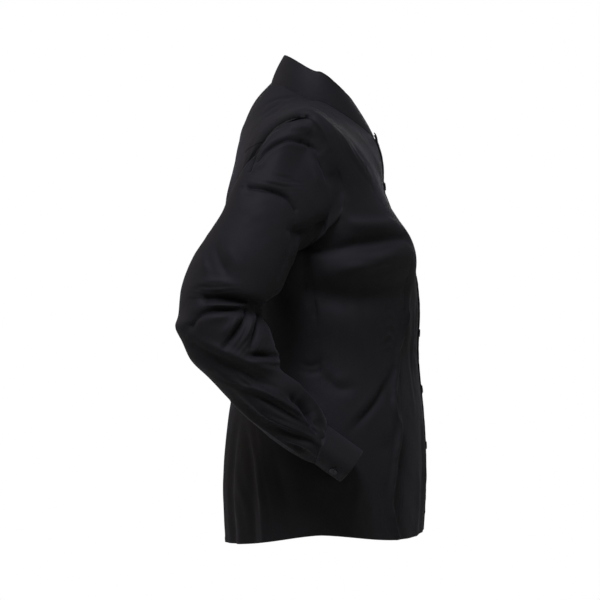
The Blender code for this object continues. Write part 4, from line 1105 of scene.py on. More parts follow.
def panel(name, grid, side, finish, edges, under=None):
    """A body panel over a grid of angles and levels: folded cloth whose seam edges turn in, or whose last
    edge is laid under its neighbour where under is given."""
    angle, level = grid[..., 0] * side, grid[..., 1]
    p, plain, crease = body(angle, level)
    u, v = across_lengths(p)
    height = hem_height(v)
    for k, (phase, gathered, dark) in enumerate(edges):
        far = (u, u[:, -1:] - u)[k]
        # painted shade along the seam's crease
        crease = np.maximum(crease, dark * bell(far, SEAM_ROLL_WIDTH))
        height += seam_height(far, v[:, [-k]], phase + side, gathered)
    p = p + plain * height[..., None]
    n = grid_normals(p, False, plain)
    uv = np.stack([u * side, v], -1)
    laps = SEAM_LAPS if under is None else UNDER_LAPS
    count = len(LIP_TURN) + 1 if under is None else len(UNDERLAP)
    ends = []
    for end, beside in ((0, 1), (-1, -2)):
        outward, upward, laid = unit(p[:, end] - p[:, beside]), n[:, end], None
        edge = p[:, end] - outward * (LIP_RADIUS - laps)
        if under is not None:
            laid = under * -end
            upward = settled(upward * (1 - laid[:, None]) + plain[:, end] * laid[:, None], laid)
            outward = settled(outward, laid)
        skins = [rows.transpose(1, 0, 2) for rows in lip(edge, outward, upward, CLOTH, laid)]
        flat_u = uv[:, [end], 0] + np.arange(1, count + 1) * (side if end else -side)
        ends.append([*skins, np.stack([flat_u, np.repeat(uv[:, [end], 1], count, 1)], -1)])
    parts = [np.concatenate([first[:, ::-1], middle[:, 1:-1], last], 1)
             for first, middle, last in zip(ends[0], (p, p - n * CLOTH, uv), ends[1])]
    mesh = Mesh()
    crease = np.pad(crease, ((0, 0), (count - 1, count - 1)), mode="edge")
    mesh.shell(*parts, flip=side < 0, crease=crease)
    return mesh.make(name, finish)


def build_back(finish):
    """The back, from side seam to side seam, up to the armholes, shoulders and neckline."""
    left = np.concatenate([side_seam(), armhole_run(0.0, ARMHOLE_ROWS)])
    level = np.linspace(left[-1, 1], NECK_LEVEL, SHOULDER_ROWS + 1)[1:]
    left = np.concatenate([left, np.stack([np.full(SHOULDER_ROWS, 90.0), level], -1)])
    t = clustered(BACK_COLUMNS)
    grid = across(left, np.stack([360.0 - left[:, 0], left[:, 1]], -1), t)
    stops = np.cumsum([0, SIDE_SEAM_ROWS, ARMHOLE_ROWS, SHOULDER_ROWS])
    at_stops = [HEM_LEVEL, ARMPIT_MIDDLE_LEVEL, SHOULDER_MIDDLE_LEVEL, NECK_LEVEL]
    middle = np.interp(np.arange(len(left)), stops, at_stops)
    blend = 1 - smooth(np.abs(2 * t - 1), BACK_EVEN, 1.0)[None, :]
    grid[..., 1] = grid[..., 1] * (1 - blend) + middle[:, None] * blend
    return panel("shirt_back", grid, LEFT, finish, BACK_EDGES)


def build_side_front(word, side, finish):
    """Side front, from the princess seam to the side seam and the front half of the armhole."""
    outer = np.concatenate([side_seam(), armhole_run(360.0, FRONT_ARMHOLE_ROWS)])
    grid = across(princess_run(len(outer)), outer, clustered(FRONT_COLUMNS))
    steep = smooth(np.arange(len(outer)), SIDE_SEAM_ROWS - STEEP_ROWS, SIDE_SEAM_ROWS + STEEP_ROWS)
    return panel(f"shirt_side_front_{word}", grid, side, finish, SIDE_FRONT_EDGES, under=steep)


def build_centre_front(word, side, finish):
    """Centre front, from its band, and the neckline from there to the shoulder seam, to the princess seam."""
    level = np.linspace(HEM_LEVEL, NECK_LEVEL, FRONT_EDGE_ROWS + 1)
    edge = np.stack([edge_angle(BAND_HALF, level), level], -1)
    angle = np.linspace(edge[-1, 0], 90.0, NECK_ROWS + 1)[1:]
    edge = np.concatenate([edge, np.stack([angle, np.full(NECK_ROWS, NECK_LEVEL)], -1)])
    grid = across(edge, princess_run(len(edge)), clustered(FRONT_COLUMNS))
    return panel(f"shirt_centre_front_{word}", grid, side, finish, CENTRE_FRONT_EDGES)


def loft_sleeve(at, clock, side):
    """The plain sleeve, where at is 0 at the armhole and counts its rings from there down the rows."""
    angle, level = armhole(clock)
    head, n, _ = body(angle * side, level)
    rings = [head + n * HEAD_PROUD]
    for k in range(len(SLEEVE_RINGS)):
        rings.append(tube_point(SLEEVE, np.full(clock.shape, float(k)), clock, side))
    flat = np.array(rings).reshape(len(rings), -1)
    return curve(at, np.arange(len(rings)), flat).reshape(len(at), -1, 3)


def sleeve_folds(p, clock, v, side):
    """How far the sleeve's folds move its cloth outward, and its painted crease shade, by the length from the
    armhole.
    """
    half = HALVES[side]
    a, b = seen(p, side)
    outer = smooth(np.cos(np.radians(clock)), -INNER_BLEND, INNER_BLEND)
    folds, crease = fold_field(a, b, half["sleeve"])
    height = outer * (folds + ripple_height(a, b, SLEEVE_RIPPLES))
    moved, inner_crease_shade = fold_field(a + INNER_SHIFT[0], b + INNER_SHIFT[1], half["sleeve"])
    height += (1 - outer) * INNER_SHARE * moved + slow_waves(p)
    crease = outer * np.maximum(crease, shade_field(a, b, half["sleeve_shades"]))
    crease += (1 - outer) * INNER_SHARE * inner_crease_shade
    height *= smooth(v, 0.0, HEAD_CALM) * smooth(v[-1:] - v, 0.0, CUFF_CALM)
    shared, shared_crease_shade = fold_field(a, b, half["shared"])
    height += outer * shared * smooth(v, 0.0, SHARED_CALM)
    return height, np.maximum(crease, outer * shared_crease_shade)


def sleeve_ends(clock, u, v, side):
    """The head's roll and gathers, its front pressed in, the gathers at the cuff and the sunk seam's painted
    shade.
    """
    behind, front = armhole_share(clock, *ARMHOLE_SUNK), armhole_share(clock, *ARMHOLE_FLUSH)
    height = behind * HEAD_ROLL * (bell(v - HEAD_ROLL_AT, HEAD_ROLL_WIDTH) - bell(v, HEAD_DIP_WIDTH))
    height -= front * FRONT_PRESS * v / FRONT_PRESS_AT * np.exp(1 - v / FRONT_PRESS_AT)
    height += HEAD_PUCKER * pucker(u[:1], HEAD_PHASE + side) * bell(v - HEAD_PUCKER_AT, HEAD_PUCKER_WIDTH)
    turn = np.radians(clock)
    gather = GATHER * np.cos(turn * GATHERS + GATHER_DRIFT * np.sin(turn * GATHER_DRIFT_TURNS))
    most = smooth(np.cos(np.radians(clock - GATHER_CLOCK)), *GATHER_FACING)
    height += gather * bell(v[-1:] - v, GATHER_REACH) * most
    return height, ARMHOLE_SHADE * behind * bell(v, SLEEVE_CREASE_WIDTH)


def build_sleeve(word, side, finish):
    """A hollow sleeve with its folds, from the armhole to the cuff."""
    at = np.concatenate([np.linspace(0, HEAD_RINGS, SLEEVE_HEAD_ROWS)[:-1],
                         np.linspace(HEAD_RINGS, len(SLEEVE_RINGS), SLEEVE_ROWS)])
    turn = np.linspace(0, 2 * np.pi, SLEEVE_COLUMNS + 1)[:-1]
    clock = np.degrees(turn - SLEEVE_CROWDING * np.sin(turn - OUTER_MIDDLE))
    p = loft_sleeve(at, clock, side)
    clock = np.broadcast_to(clock, p.shape[:2])
    u, v = across_lengths(p)
    middle = p.mean(1, keepdims=True)
    height, crease = sleeve_folds(p, clock, v, side)
    more_height, more_crease_shade = sleeve_ends(clock, u, v, side)
    p = p + grid_normals(p, True, p - middle) * (height + more_height)[..., None]
    n = grid_normals(p, True, p - middle)
    outward = unit(p[0] - p[1])
    turned = lip(p[0] + outward * HEAD_LAPS, outward, n[0], CLOTH, allowance=HEAD_ALLOWANCE)
    skins = [np.concatenate([lead[::-1], rest[1:]]) for lead, rest in zip(turned, (p, p - n * SLEEVE_CLOTH))]
    count = len(LIP_TURN) + 1
    uv = np.stack([np.broadcast_to(u[:1], v.shape) * side, v], -1)
    lead = np.repeat(uv[:1], count, 0)
    lead[..., 1] = -np.arange(count, 0, -1)[:, None]
    crease = np.pad(np.maximum(crease, more_crease_shade), ((count - 1, 0), (0, 0)), mode="edge")
    mesh = Mesh()
    mesh.shell(*skins, np.concatenate([lead, uv[1:]]), closed=True, flip=side > 0, crease=crease,
               skip=SLEEVE_INNER_SKIP)
    return mesh.make(f"shirt_sleeve_{word}", finish)


def stitches(name, lines, finish):
    """Short thread stitches along runs of points with their normals."""
    mesh = Mesh()
    turn = np.linspace(0, 2 * np.pi, THREAD_SIDES + 1)[:-1, None]
    rise, radius = np.array(STITCH_RISE)[:, None], np.array(STITCH_WIDE)[:, None, None] * THREAD_RADIUS
    for line in lines:
        run = np.concatenate([[0], np.cumsum(np.linalg.norm(np.diff(line[0], axis=0), axis=1))])
        starts = np.arange(STITCH_START, run[-1] - STITCH_LENGTH, STITCH_LENGTH + STITCH_GAP)
        s = starts[:, None] + np.linspace(0, 1, len(rise)) * STITCH_LENGTH
        centre, normal = (np.stack([np.interp(s, run, rows[:, k]) for k in range(3)], -1) for rows in line)
        normal = unit(normal)
        centre = centre + normal * rise
        aside = unit(np.cross(unit(centre[:, -1:] - centre[:, :1]), normal))
        ring = np.cos(turn) * aside[:, :, None] + np.sin(turn) * normal[:, :, None]
        for one in centre[:, :, None] + ring * radius:
            mesh.grid(one, np.zeros(one.shape[:2] + (2,)), closed=True, flip=True)
    return mesh.make(name, finish)


def band_shell(name, outer, normal, thick, finish, flip=False):
    """A doubled band of cloth with soft rounded edges over a grid of points."""
    u, v = across_lengths(outer)
    edge = np.min([v, v[-1:] - v, u, u[:, -1:] - u], axis=0)
    near = 1 - np.clip(edge / (thick * EDGE_ROUND), 0, 1)
    round_off = thick / 2 * (1 - np.sqrt(1 - near ** 2))
    skins = (outer - normal * depth[..., None] for depth in (round_off, thick - round_off))
    mesh = Mesh()
    mesh.shell(*skins, np.stack([u, v], -1), flip=flip)
    return mesh.make(name, finish)


def edge_steps(count, length):
    """Places from 0 to 1 along a length in millimetres, with extra ones just inside both ends."""
    near, first = np.array(EDGE_STEPS) / length, FIRST_STEP / length
    return np.concatenate([near, np.linspace(first, 1 - first, count), 1 - near[::-1]])


def grooves(*edges):
    """The press of the lines of stitches beside some edges, by the distance from each."""
    return sum(GROOVE_ROLL * bell(far - EDGE_STITCH - GROOVE_ROLL_PAST, GROOVE_ROLL_WIDTH)
               - GROOVE * bell(far - EDGE_STITCH, GROOVE_WIDTH) for far in edges)


def nearest(values, wanted):
    """Where a row of values comes nearest to a wanted one."""
    return int(np.argmin(np.abs(values - wanted)))


def drifting_wave(along, drifting, height, length, drift, drift_length):
    """A long low wave whose phase drifts."""
    return height * np.sin(along / length + drift * np.sin(drifting / drift_length))


def bound_band(names, p, n, lengths, waves, thick, finish, thread, flip=False):
    """A doubled band, pressed along its four edges by lines of stitches."""
    u, v = lengths
    p = p + n * (waves + grooves(v, v[-1:] - v, u, u[:, -1:] - u))[..., None]
    up = v[:, v.shape[1] // 2]
    low, high = nearest(up, EDGE_STITCH), nearest(up[-1] - up, EDGE_STITCH)
    near = nearest(u[ROW_PAST_EDGE], EDGE_STITCH)
    picks = [(k, slice(near, -near)) for k in (low, high)]
    picks += [(slice(low, high), k) for k in (near, -1 - near)]
    made = band_shell(names[0], p, n, thick, finish, flip)
    return made, stitches(names[1], [(p[pick], n[pick]) for pick in picks], thread)


def band_point(x, level):
    """A front band's surface. It is flat across its middle, where the buttons are."""
    share = (np.clip(x, -BUTTON_PLACE_HALF, BUTTON_PLACE_HALF) + BUTTON_PLACE_HALF) / (2 * BUTTON_PLACE_HALF)
    ends = [plain_body(edge_angle(np.full(level.shape, end), level), level)
            for end in (-BUTTON_PLACE_HALF, BUTTON_PLACE_HALF)]
    middle = ends[0] * (1 - share[..., None]) + ends[1] * share[..., None]
    outside = plain_body(edge_angle(x, level), level)
    return np.where((np.abs(x) < BUTTON_PLACE_HALF)[..., None], middle, outside)


def build_band(name, first_x, last_x, lift, top_rise, thick, finish, thread):
    """A band down the front, with stitches along its long edges."""
    columns_across, rows_up = BAND_STEPS
    xs = first_x + (last_x - first_x) * edge_steps(columns_across, last_x - first_x)
    levels = HEM_LEVEL + (NECK_LEVEL - HEM_LEVEL) * edge_steps(rows_up, BAND_LENGTH)
    x, level = np.meshgrid(xs, levels)
    p = band_point(x, level)
    n = normal_of(lambda a, b: plain_body(edge_angle(a, b), b), x, level, BAND_NORMAL_STEPS)
    u, v = across_lengths(p)
    quick, wave, wave_across = BAND_QUICK_WAVE
    waves = drifting_wave(v, v, *BAND_WAVE) + quick * np.sin(v / wave + u / wave_across)
    height, phase, reach = BAND_PUCKER
    waves += height * pucker(v, phase) * bell(np.minimum(u, u[:, -1:] - u), reach)
    waves = waves * smooth(np.abs(x), 0.0, BAND_FLAT) + top_rise * smooth(level, *BAND_TOP)
    outer = p + n * (lift + waves + grooves(u, u[:, -1:] - u))[..., None]
    inside = slice(BAND_STITCHES_END, -BAND_STITCHES_END)
    places = [nearest(xs, x) for x in (first_x + EDGE_STITCH, last_x - EDGE_STITCH)]
    runs = [(outer[inside, k], n[inside, k]) for k in places]
    return band_shell(name, outer, n, thick, finish), stitches(f"{name}_stitches", runs, thread)


def collar_point(angle, rise):
    """The collar band's outer surface, where rise is 0 on the neckline and 1 at the top edge."""
    level = np.full(angle.shape, NECK_LEVEL)
    low = plain_body(angle, level) + normal_of(plain_body, angle, level, BODY_STEPS) * COLLAR_PROUD
    top = ring_point(dict(zip(RING_COLUMNS, COLLAR_TOP)), angle)
    turn = np.radians(angle)
    out = np.stack([np.sin(turn), -np.cos(turn), np.zeros(angle.shape)], -1)
    return low + (top - low) * rise[..., None] + out * (COLLAR_SWELL * 4 * rise * (1 - rise))[..., None]


def build_collar(finish, thread):
    """The stand-up band, from its right end round the back to its left end."""
    steps_round, steps_up = (edge_steps(count, size) for count, size in zip(COLLAR_STEPS, COLLAR_SIZE))
    rise = COLLAR_FOOT + (1 - COLLAR_FOOT) * steps_up[:, None]
    up = np.clip(rise, 0, 1)
    end = edge_angle(np.full(up.shape, COLLAR_END_X), np.full(up.shape, NECK_LEVEL))
    end = end + COLLAR_END_SLANT * up**COLLAR_END_CURVE
    end = end + COLLAR_CORNER * smooth(up, COLLAR_CORNER_FROM, 1.0) ** 2
    angle = end + (360.0 - 2 * end) * steps_round
    rise = np.broadcast_to(rise, angle.shape)
    p = collar_point(angle, rise)
    n = normal_of(collar_point, angle, rise, COLLAR_NORMAL_STEPS)
    u, v = across_lengths(p)
    height, phase, top_share = COLLAR_PUCKER
    at_edges = bell(v, PUCKERED_EDGE) + top_share * bell(v[-1:] - v, PUCKERED_EDGE)
    waves = drifting_wave(u, u, *COLLAR_WAVE) * smooth(v, *COLLAR_WAVE_FROM)
    waves += height * pucker(u, phase) * at_edges
    names = ("shirt_collar", "shirt_collar_stitches")
    return bound_band(names, p, n, (u, v), waves, COLLAR_THICK, finish, thread)


def cuff_point(at, clock, side):
    """The cuff's outer surface. Its upper end rises off the under end past one full turn."""
    held = np.maximum(at, 0.0)
    p = tube_point(CUFF, held, clock, side)
    ahead = tube_point(CUFF, held + CUFF_AHEAD, clock, side)
    p = p + (p - ahead) / CUFF_AHEAD * np.maximum(-at, 0.0)[..., None]

    def surface(a, c):
        return tube_point(CUFF, np.maximum(a, CUFF_FROM[0]), c, side)

    n = normal_of(surface, held, clock, TUBE_STEPS)
    lap = CUFF_UNDER_END + 360
    rise = CUFF_PROUD + CUFF_RISE * smooth(clock, lap - CUFF_RISE_RUN, lap - 1)
    return p + n * side * rise[..., None]


def build_cuff(word, side, finish, thread):
    """A cuff, wound once round with its ends lapped, and stitched along its edges."""
    steps_round, steps_down = (edge_steps(count, size) for count, size in zip(CUFF_STEPS, CUFF_SIZE))
    clock = CUFF_UNDER_END + (360 + CUFF_LAP) * steps_round[None, :]
    at = CUFF_FOOT + (len(CUFF_RINGS) - 1 - CUFF_FOOT) * steps_down[:, None]
    at, clock = np.broadcast_arrays(at, clock)
    p = cuff_point(at, clock, side)
    n = normal_of(lambda a, c: cuff_point(a, c, side), np.maximum(at, CUFF_FROM[1]), clock, TUBE_STEPS) * side
    u, v = across_lengths(p)
    waves = drifting_wave(u, v, *CUFF_WAVE) + CUFF_PUCKER * pucker(u, side) * bell(v, PUCKERED_EDGE)
    names = (f"shirt_cuff_{word}", f"shirt_cuff_stitches_{word}")
    return bound_band(names, p, n, (u, v), waves, CUFF_THICK, finish, thread, flip=side > 0)


def circle(bm, count, centre, first, second):
    """A ring of new vertices round a centre, in millimetres."""
    turns = np.linspace(0, 2 * np.pi, count + 1)[:-1]
    return [bm.verts.new(tuple((centre + first * np.cos(t) + second * np.sin(t)) * MM)) for t in turns]


def joined(bm, rings):
    """New faces from each ring of vertices to the next, where a ring may be a single point."""
    faces = []
    for a, b in zip(rings[:-1], rings[1:]):
        for k in range(max(len(a), len(b))):
            corners = (a[k % len(a)], b[k % len(b)], b[(k + 1) % len(b)], a[(k + 1) % len(a)])
            faces.append(bm.faces.new(tuple(dict.fromkeys(corners))))
    return faces


def shaped(name, bm):
    """An object of a finished bmesh."""
    mesh = bpy.data.meshes.new(name)
    bm.to_mesh(mesh)
    bm.free()
    return place(name, mesh)


def button_disc():
    """A shirt button's mesh with four holes cut through it, resting on Z 0."""
    bm = bmesh.new()
    x, y, z = np.eye(3)
    joined(bm, [circle(bm, BUTTON_TURNS if r else 1, z * rise, x * r, y * r) for r, rise in BUTTON_PROFILE])
    bmesh.ops.recalc_face_normals(bm, faces=bm.faces)
    disc = shaped("button_disc", bm)
    bm = bmesh.new()
    for across_x in (-HOLE_OFF, HOLE_OFF):
        for across_y in (-HOLE_OFF, HOLE_OFF):
            made = bmesh.ops.create_cone(bm, cap_ends=True, segments=HOLE_SIDES, radius1=HOLE_RADIUS * MM,
                                         radius2=HOLE_RADIUS * MM, depth=HOLE_DEPTH * MM)
            bmesh.ops.translate(bm, verts=made["verts"], vec=(across_x * MM, across_y * MM, 0))
    cutter = shaped("button_holes", bm)
    cut = disc.modifiers.new("Holes", "BOOLEAN")
    cut.object = cutter
    cut.operation = "DIFFERENCE"
    bpy.context.view_layer.update()
    mesh = bpy.data.meshes.new_from_object(disc.evaluated_get(bpy.context.evaluated_depsgraph_get()))
    for used in (disc, cutter):
        bpy.data.objects.remove(used, do_unlink=True)
    return mesh


def button_mesh(finish, thread):
    """A button with the thread that crosses it through its holes."""
    mesh = button_disc()
    mesh.materials.clear()
    mesh.materials.append(finish)
    mesh.materials.append(thread)
    bm = bmesh.new()
    bm.from_mesh(mesh)
    aside = np.array((0.0, 1.0, 0.0))
    for y in (-HOLE_OFF, HOLE_OFF):
        for lane in THREAD_LANES:
            arc = np.array([(share * HOLE_OFF, y + lane, height) for share, height in THREAD_ARC])
            padded = np.pad(arc, ((1, 1), (0, 0)), mode="edge")
            up = np.cross(unit(padded[2:] - padded[:-2]), aside)
            rings = [circle(bm, LANE_SIDES, here, aside * LANE_RADIUS, rise * LANE_RADIUS)
                     for here, rise in zip(arc, up)]
            for face in joined(bm, rings):
                face.material_index = 1
    bm.to_mesh(mesh)
    bm.free()
    mesh.shade_smooth()
    mesh.set_sharp_from_angle(angle=np.radians(SHARP_BUTTON))
    return mesh


def place_button(node, mesh, point, normal, turn):
    """A button on the cloth for a node, its holes turned a little."""
    made = place("shirt_" + node, mesh)
    square = Vector(normal.tolist()).to_track_quat("Z", "Y").to_matrix().to_4x4()
    made.matrix_world = Matrix.Translation((point * MM).tolist()) @ square @ Matrix.Rotation(turn, 4, "Z")
    return made


def buttonholes(name, spots, finish):
    """Bound slots under the buttons: a ring of close thread round each slot, on points with a direction."""
    mesh = Mesh()
    t = np.linspace(0, 2 * np.pi, SLOT_POINTS + 1)[:-1, None]
    s, c = np.sin(t), np.cos(t)
    corner = np.sign(c) * np.clip(np.abs(c) * SLOT_END_FILL, 0, 1) ** SLOT_END_POWER
    size = SLOT_THREAD + SLOT_BULGE * np.cos(t * SLOT_WINDINGS)
    turns = np.linspace(0, 2 * np.pi, SLOT_SIDES + 1)[:-1]
    for point, normal, along in spots:
        aside = np.cross(normal, along)
        centre = point + along * corner * SLOT_HALF + aside * s * SLOT_WIDE
        out = unit(along * c * SLOT_SPREAD + aside * s)
        rings = [centre + out * np.cos(a) * SLOT_FLAT * size + normal * np.sin(a) * size for a in turns]
        mesh.grid(np.array(rings + rings[:1]), np.zeros((SLOT_SIDES + 1, SLOT_POINTS, 2)), closed=True)
    return mesh.make(name, finish)


def fill(node, inputs):
    """Sets a shader node's inputs, by name or place, to values, or links them to other nodes' outputs."""
    for name, value in inputs.items():
        socket = node.inputs[name]
        if isinstance(value, bpy.types.NodeSocket):
            node.id_data.links.new(value, socket)
        else:
            socket.default_value = (*value, 1.0) if socket.type == "RGBA" else value


def add(tree, kind, inputs=None, **settings):
    """A new shader node's outputs."""
    made = tree.nodes.new("ShaderNode" + kind)
    for name, value in settings.items():
        setattr(made, name, value)
    fill(made, inputs or {})
    return made.outputs


def worked(tree, operation, *values):
    """The outcome of one sum on one or two values."""
    return add(tree, "Math", dict(enumerate(values)), operation=operation)[0]


def noise(tree, at, scale, detail, distortion=0.0):
    """A soft noise from 0 to 1."""
    inputs = {"Vector": at, "Scale": scale, "Detail": detail, "Distortion": distortion}
    return add(tree, "TexNoise", inputs)["Fac"]


def mixed(tree, share, first, last):
    """A colour between two others."""
    return add(tree, "Mix", {"Factor": share, "A": first, "B": last}, data_type="RGBA")["Result"]


def spread(tree, value, low, high):
    """A value from 0 to 1, spread from low to high."""
    return add(tree, "MapRange", {"Value": value, "To Min": low, "To Max": high})[0]


def bump(tree, height, deep, strength, under=None):
    """A relief of a depth in millimetres, on another one where under names it."""
    inputs = {"Height": height, "Distance": deep * MM, "Strength": strength}
    return add(tree, "Bump", inputs | (under or {}))[0]


def material(name, gloss):
    """A new material, its node tree and its shader."""
    made = bpy.data.materials.new(name)
    made.use_nodes = True
    shader = made.node_tree.nodes["Principled BSDF"]
    fill(shader, {"Specular IOR Level": gloss})
    return made, made.node_tree, shader


def cloth_material(name, dark, light, rough, press):
    """Fine plain-woven cotton: crossed threads, slow tone changes and faint slubs, with shade painted into
    its creases.
    """
    made, tree, shader = material(name, CLOTH_GLOSS)
    fill(shader, CLOTH_SHEEN)
    coordinates = add(tree, "TexCoord")
    flat, solid = coordinates["UV"], coordinates["Object"]
    split = add(tree, "SeparateXYZ", {0: flat})
    turn = 2 * np.pi / (WEAVE * MM)
    waves = (worked(tree, "SINE", worked(tree, "MULTIPLY", split[axis], turn)) for axis in "XY")
    weave = worked(tree, "MULTIPLY", *waves)
    slub = noise(tree, add(tree, "Mapping", {"Vector": flat, "Scale": SLUB_STRETCH})[0], *SLUB_NOISE)
    tone = noise(tree, solid, *TONE_NOISE)
    parts = (worked(tree, "MULTIPLY", value, share) for value, share in zip((tone, slub), TONE_SHARES))
    colour = mixed(tree, worked(tree, "ADD", *parts), dark, light)
    # Painted shade: the crease shade attribute darkens the base colour towards a near-black tone
    crease = add(tree, "Attribute", attribute_name="crease")["Fac"]
    soft = bump(tree, noise(tree, solid, *CRUMPLE_NOISE), press, 1.0)
    raised = worked(tree, "ADD", weave, worked(tree, "MULTIPLY", slub, SLUB_RELIEF))
    fill(shader, {
        "Base Color": mixed(tree, crease, colour, CREASE_SHADE_TONE),
        "Roughness": spread(tree, tone, rough - ROUGH_CHANGE, rough + ROUGH_CHANGE),
        "Normal": bump(tree, raised, WEAVE_RELIEF, WEAVE_STRENGTH, {"Normal": soft}),
    })
    return made


def thread_material():
    """Twisted black sewing thread."""
    made, tree, shader = material("black_thread", THREAD_GLOSS)
    twist = noise(tree, add(tree, "TexCoord")["Object"], *THREAD_NOISE)
    colour = mixed(tree, twist, *THREAD_TONES)
    fill(shader, {"Base Color": colour, "Sheen Weight": THREAD_SHEEN, "Roughness": THREAD_ROUGH})
    return made


def button_material():
    """Black plastic with a faint marbled depth and soft handling marks."""
    made, tree, shader = material("black_button", BUTTON_GLOSS)
    marble = noise(tree, add(tree, "TexCoord")["Object"], *MARBLE_NOISE)
    colour = mixed(tree, marble, *BUTTON_TONES)
    fill(shader, {"Base Color": colour, "Roughness": spread(tree, marble, *BUTTON_ROUGH)})
    return made


def dressed(made, node, slot, **cloth):
    """Sets what a piece rides on and hides the part of the node that it stands for; slot and cloth are not
    used.
    """
    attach(made, "root")
    if node:
        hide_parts(node)


def doubled(pieces, node, rests_on, flat, area):
    """The same for a doubled band and its stitches."""
    made, sewn = pieces
    dressed(made, node, "bands", flat=flat, held="folded", rests_on=[rests_on], area=area)
    dressed(sewn, None, "bands")


def button_front(disc, thread):
    """The buttons down the placket, on the flat middles of its rows, and the bound slots under them."""
    levels = np.linspace(HEM_LEVEL, NECK_LEVEL, BUTTON_ROWS)[::-1]
    spots = []
    for number in range(FRONT_BUTTONS):
        pair = levels[number * ROWS_BETWEEN_BUTTONS:][:2]
        ends = np.array([[plain_body(edge_angle(x, row), row) for row in pair]
                         for x in (-BUTTON_PLACE_HALF, BUTTON_PLACE_HALF)])
        normal = unit(np.cross(ends[1, 0] - ends[0, 0], ends[0, 0] - ends[0, 1]))
        point = ends.mean((0, 1)) + normal * PLACKET_LIFT
        node = f"front_button_{number + 1}"
        above = point + normal * FRONT_BUTTON_OFF
        dressed(place_button(node, disc, above, normal, FRONT_BUTTON_TURN * number), node, "buttons")
        spots.append((point + normal * SLOT_OFF, normal, unit(ends[:, 0].mean(0) - ends[:, 1].mean(0))))
    dressed(buttonholes("shirt_placket_buttonholes", spots, thread), None, "bands")


def button_cuff(word, side, disc, thread):
    """A cuff's button, on the lap, and the bound slot under it."""
    at = np.array([CUFF_BUTTON_AT * (len(CUFF_RINGS) - 1)])
    clock = np.array([CUFF_BUTTON_CLOCK + 360.0])

    def surface(a, c):
        return cuff_point(a, c, side)

    normal = (normal_of(surface, at, clock, TUBE_STEPS) * side)[0]
    point = surface(at, clock)[0]
    node, above = f"cuff_button_{word}", point + normal * CUFF_BUTTON_OFF
    dressed(place_button(node, disc, above, normal, CUFF_BUTTON_TURN), node, "buttons")
    along = unit(surface(at, clock + CUFF_SLOT_CLOCK) - surface(at, clock - CUFF_SLOT_CLOCK))[0]
    dressed(buttonholes(f"shirt_cuff_buttonhole_{word}", [(point, normal, along)], thread), None, "bands")


def pale_floor():
    """A plain pale floor below the shirt."""
    bm = bmesh.new()
    bmesh.ops.create_grid(bm, x_segments=1, y_segments=1, size=FLOOR_SIZE)
    floor = shaped("floor", bm)
    floor.location = (0.0, 0.0, FLOOR_Z)
    floor.visible_diffuse = False
    made, _, shader = material("pale_floor", FLOOR_GLOSS)
    fill(shader, {"Base Color": FLOOR_TONE, "Roughness": FLOOR_ROUGH})
    floor.data.materials.append(made)


def studio_world():
    """Plain white behind the shirt, and soft light all round that falls off towards its left."""
    world = bpy.data.worlds.new("studio")
    world.use_nodes = True
    tree = world.node_tree
    white = tree.nodes["Background"]
    fill(white, {"Color": (1.0, 1.0, 1.0), "Strength": 1.0})
    split = add(tree, "SeparateXYZ", {0: add(tree, "TexCoord")["Generated"]})
    (from_x, to_x), (from_strength, to_strength) = WORLD_FALL
    strength = add(tree, "MapRange", {"Value": split["X"], "From Min": from_x, "From Max": to_x,
                                      "To Min": from_strength, "To Max": to_strength})[0]
    lit = add(tree, "Background", {"Color": WORLD_TONE, "Strength": strength})[0]
    straight = add(tree, "LightPath")["Is Camera Ray"]
    choose = add(tree, "MixShader", {0: straight, 1: lit, 2: white.outputs[0]})[0]
    fill(tree.nodes["World Output"], {"Surface": choose})
    bpy.context.scene.world = world


def soft_light(name, at, size, watts, colour):
    """A square light that points at the shirt's middle."""
    data = bpy.data.lights.new(name, "AREA")
    data.shape = "SQUARE"
    data.size = size
    data.energy = watts
    data.color = colour
    made = place(name, data)
    made.location = at
    made.rotation_euler = (AIM - made.location).to_track_quat("-Z", "Y").to_euler()


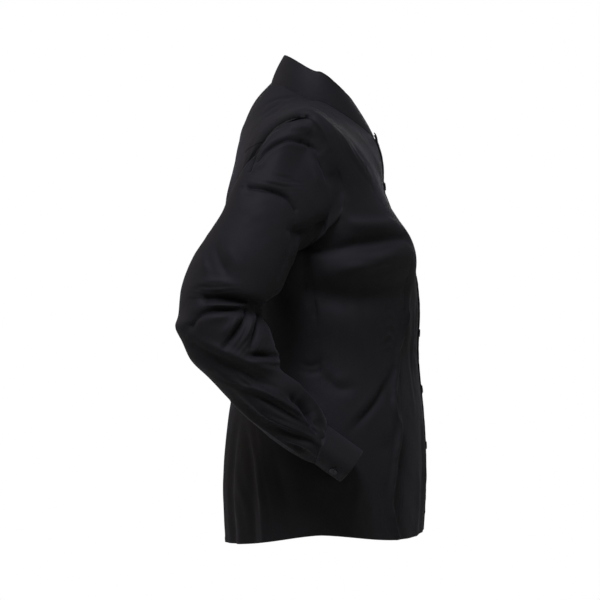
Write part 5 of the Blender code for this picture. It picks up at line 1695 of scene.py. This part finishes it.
def side_camera():
    """The camera at the viewer to the wearer's right."""
    data = bpy.data.cameras.new("camera")
    data.sensor_width = SENSOR
    data.lens = SENSOR * VIEW_FAR / (PICTURE_PIXELS * PIXEL)
    camera = place("camera", data)
    camera.location = (-VIEW_FAR * MM, VIEW_Y * MM, VIEW_Z * MM)
    camera.rotation_euler = Vector((1.0, 0.0, 0.0)).to_track_quat("-Z", "Y").to_euler()
    bpy.context.scene.camera = camera
    bpy.context.scene.view_settings.view_transform = "Standard"


poplin = cloth_material("black_poplin_cloth", *POPLIN)
pressed = cloth_material("black_poplin_pressed", *PRESSED_POPLIN)
thread = thread_material()
button_finish = button_material()

# The paired panels: what each is held by, and the flat size and area of what shows of it, in metres
PANELS = (
    ("side_front", build_side_front, "back", (0.19, 0.58), 0.075),
    ("centre_front", build_centre_front, "collar", (0.19, 0.62), 0.079),
    ("sleeve", build_sleeve, "back", (0.35, 0.56), 0.136),
)
dressed(build_back(poplin), "back", "poplin", flat=(0.56, 0.63), held="hung", rests_on=["collar"], area=0.288)
for word, side in SIDES:
    for part, build, rests_on, flat, area in PANELS:
        made = build(word, side, poplin)
        dressed(made, f"{part}_{word}", "poplin", flat=flat, held="hung", rests_on=[rests_on], area=area)

doubled(build_band("shirt_button_band", -BAND_HALF, BAND_HALF, 0.0, 0.0, BAND_THICK, pressed, thread),
        "button_band", "centre_front_left", (0.03, 0.6), 0.0165)
doubled(build_band("shirt_placket", -BAND_HALF - PLACKET_COVERS, BAND_HALF, PLACKET_LIFT, PLACKET_TOP_RISE,
                   PLACKET_THICK, pressed, thread),
        "placket", "centre_front_right", (0.033, 0.6), 0.0185)
doubled(build_collar(pressed, thread), "collar", "back", (0.41, 0.045), 0.016)
for word, side in SIDES:
    doubled(build_cuff(word, side, pressed, thread), f"cuff_{word}", f"sleeve_{word}", (0.23, 0.06), 0.0118)

disc = button_mesh(button_finish, thread)
button_front(disc, thread)
for word, side in SIDES:
    button_cuff(word, side, disc, thread)

pale_floor()
studio_world()
for row in LIGHTS:
    soft_light(*row)
side_camera()
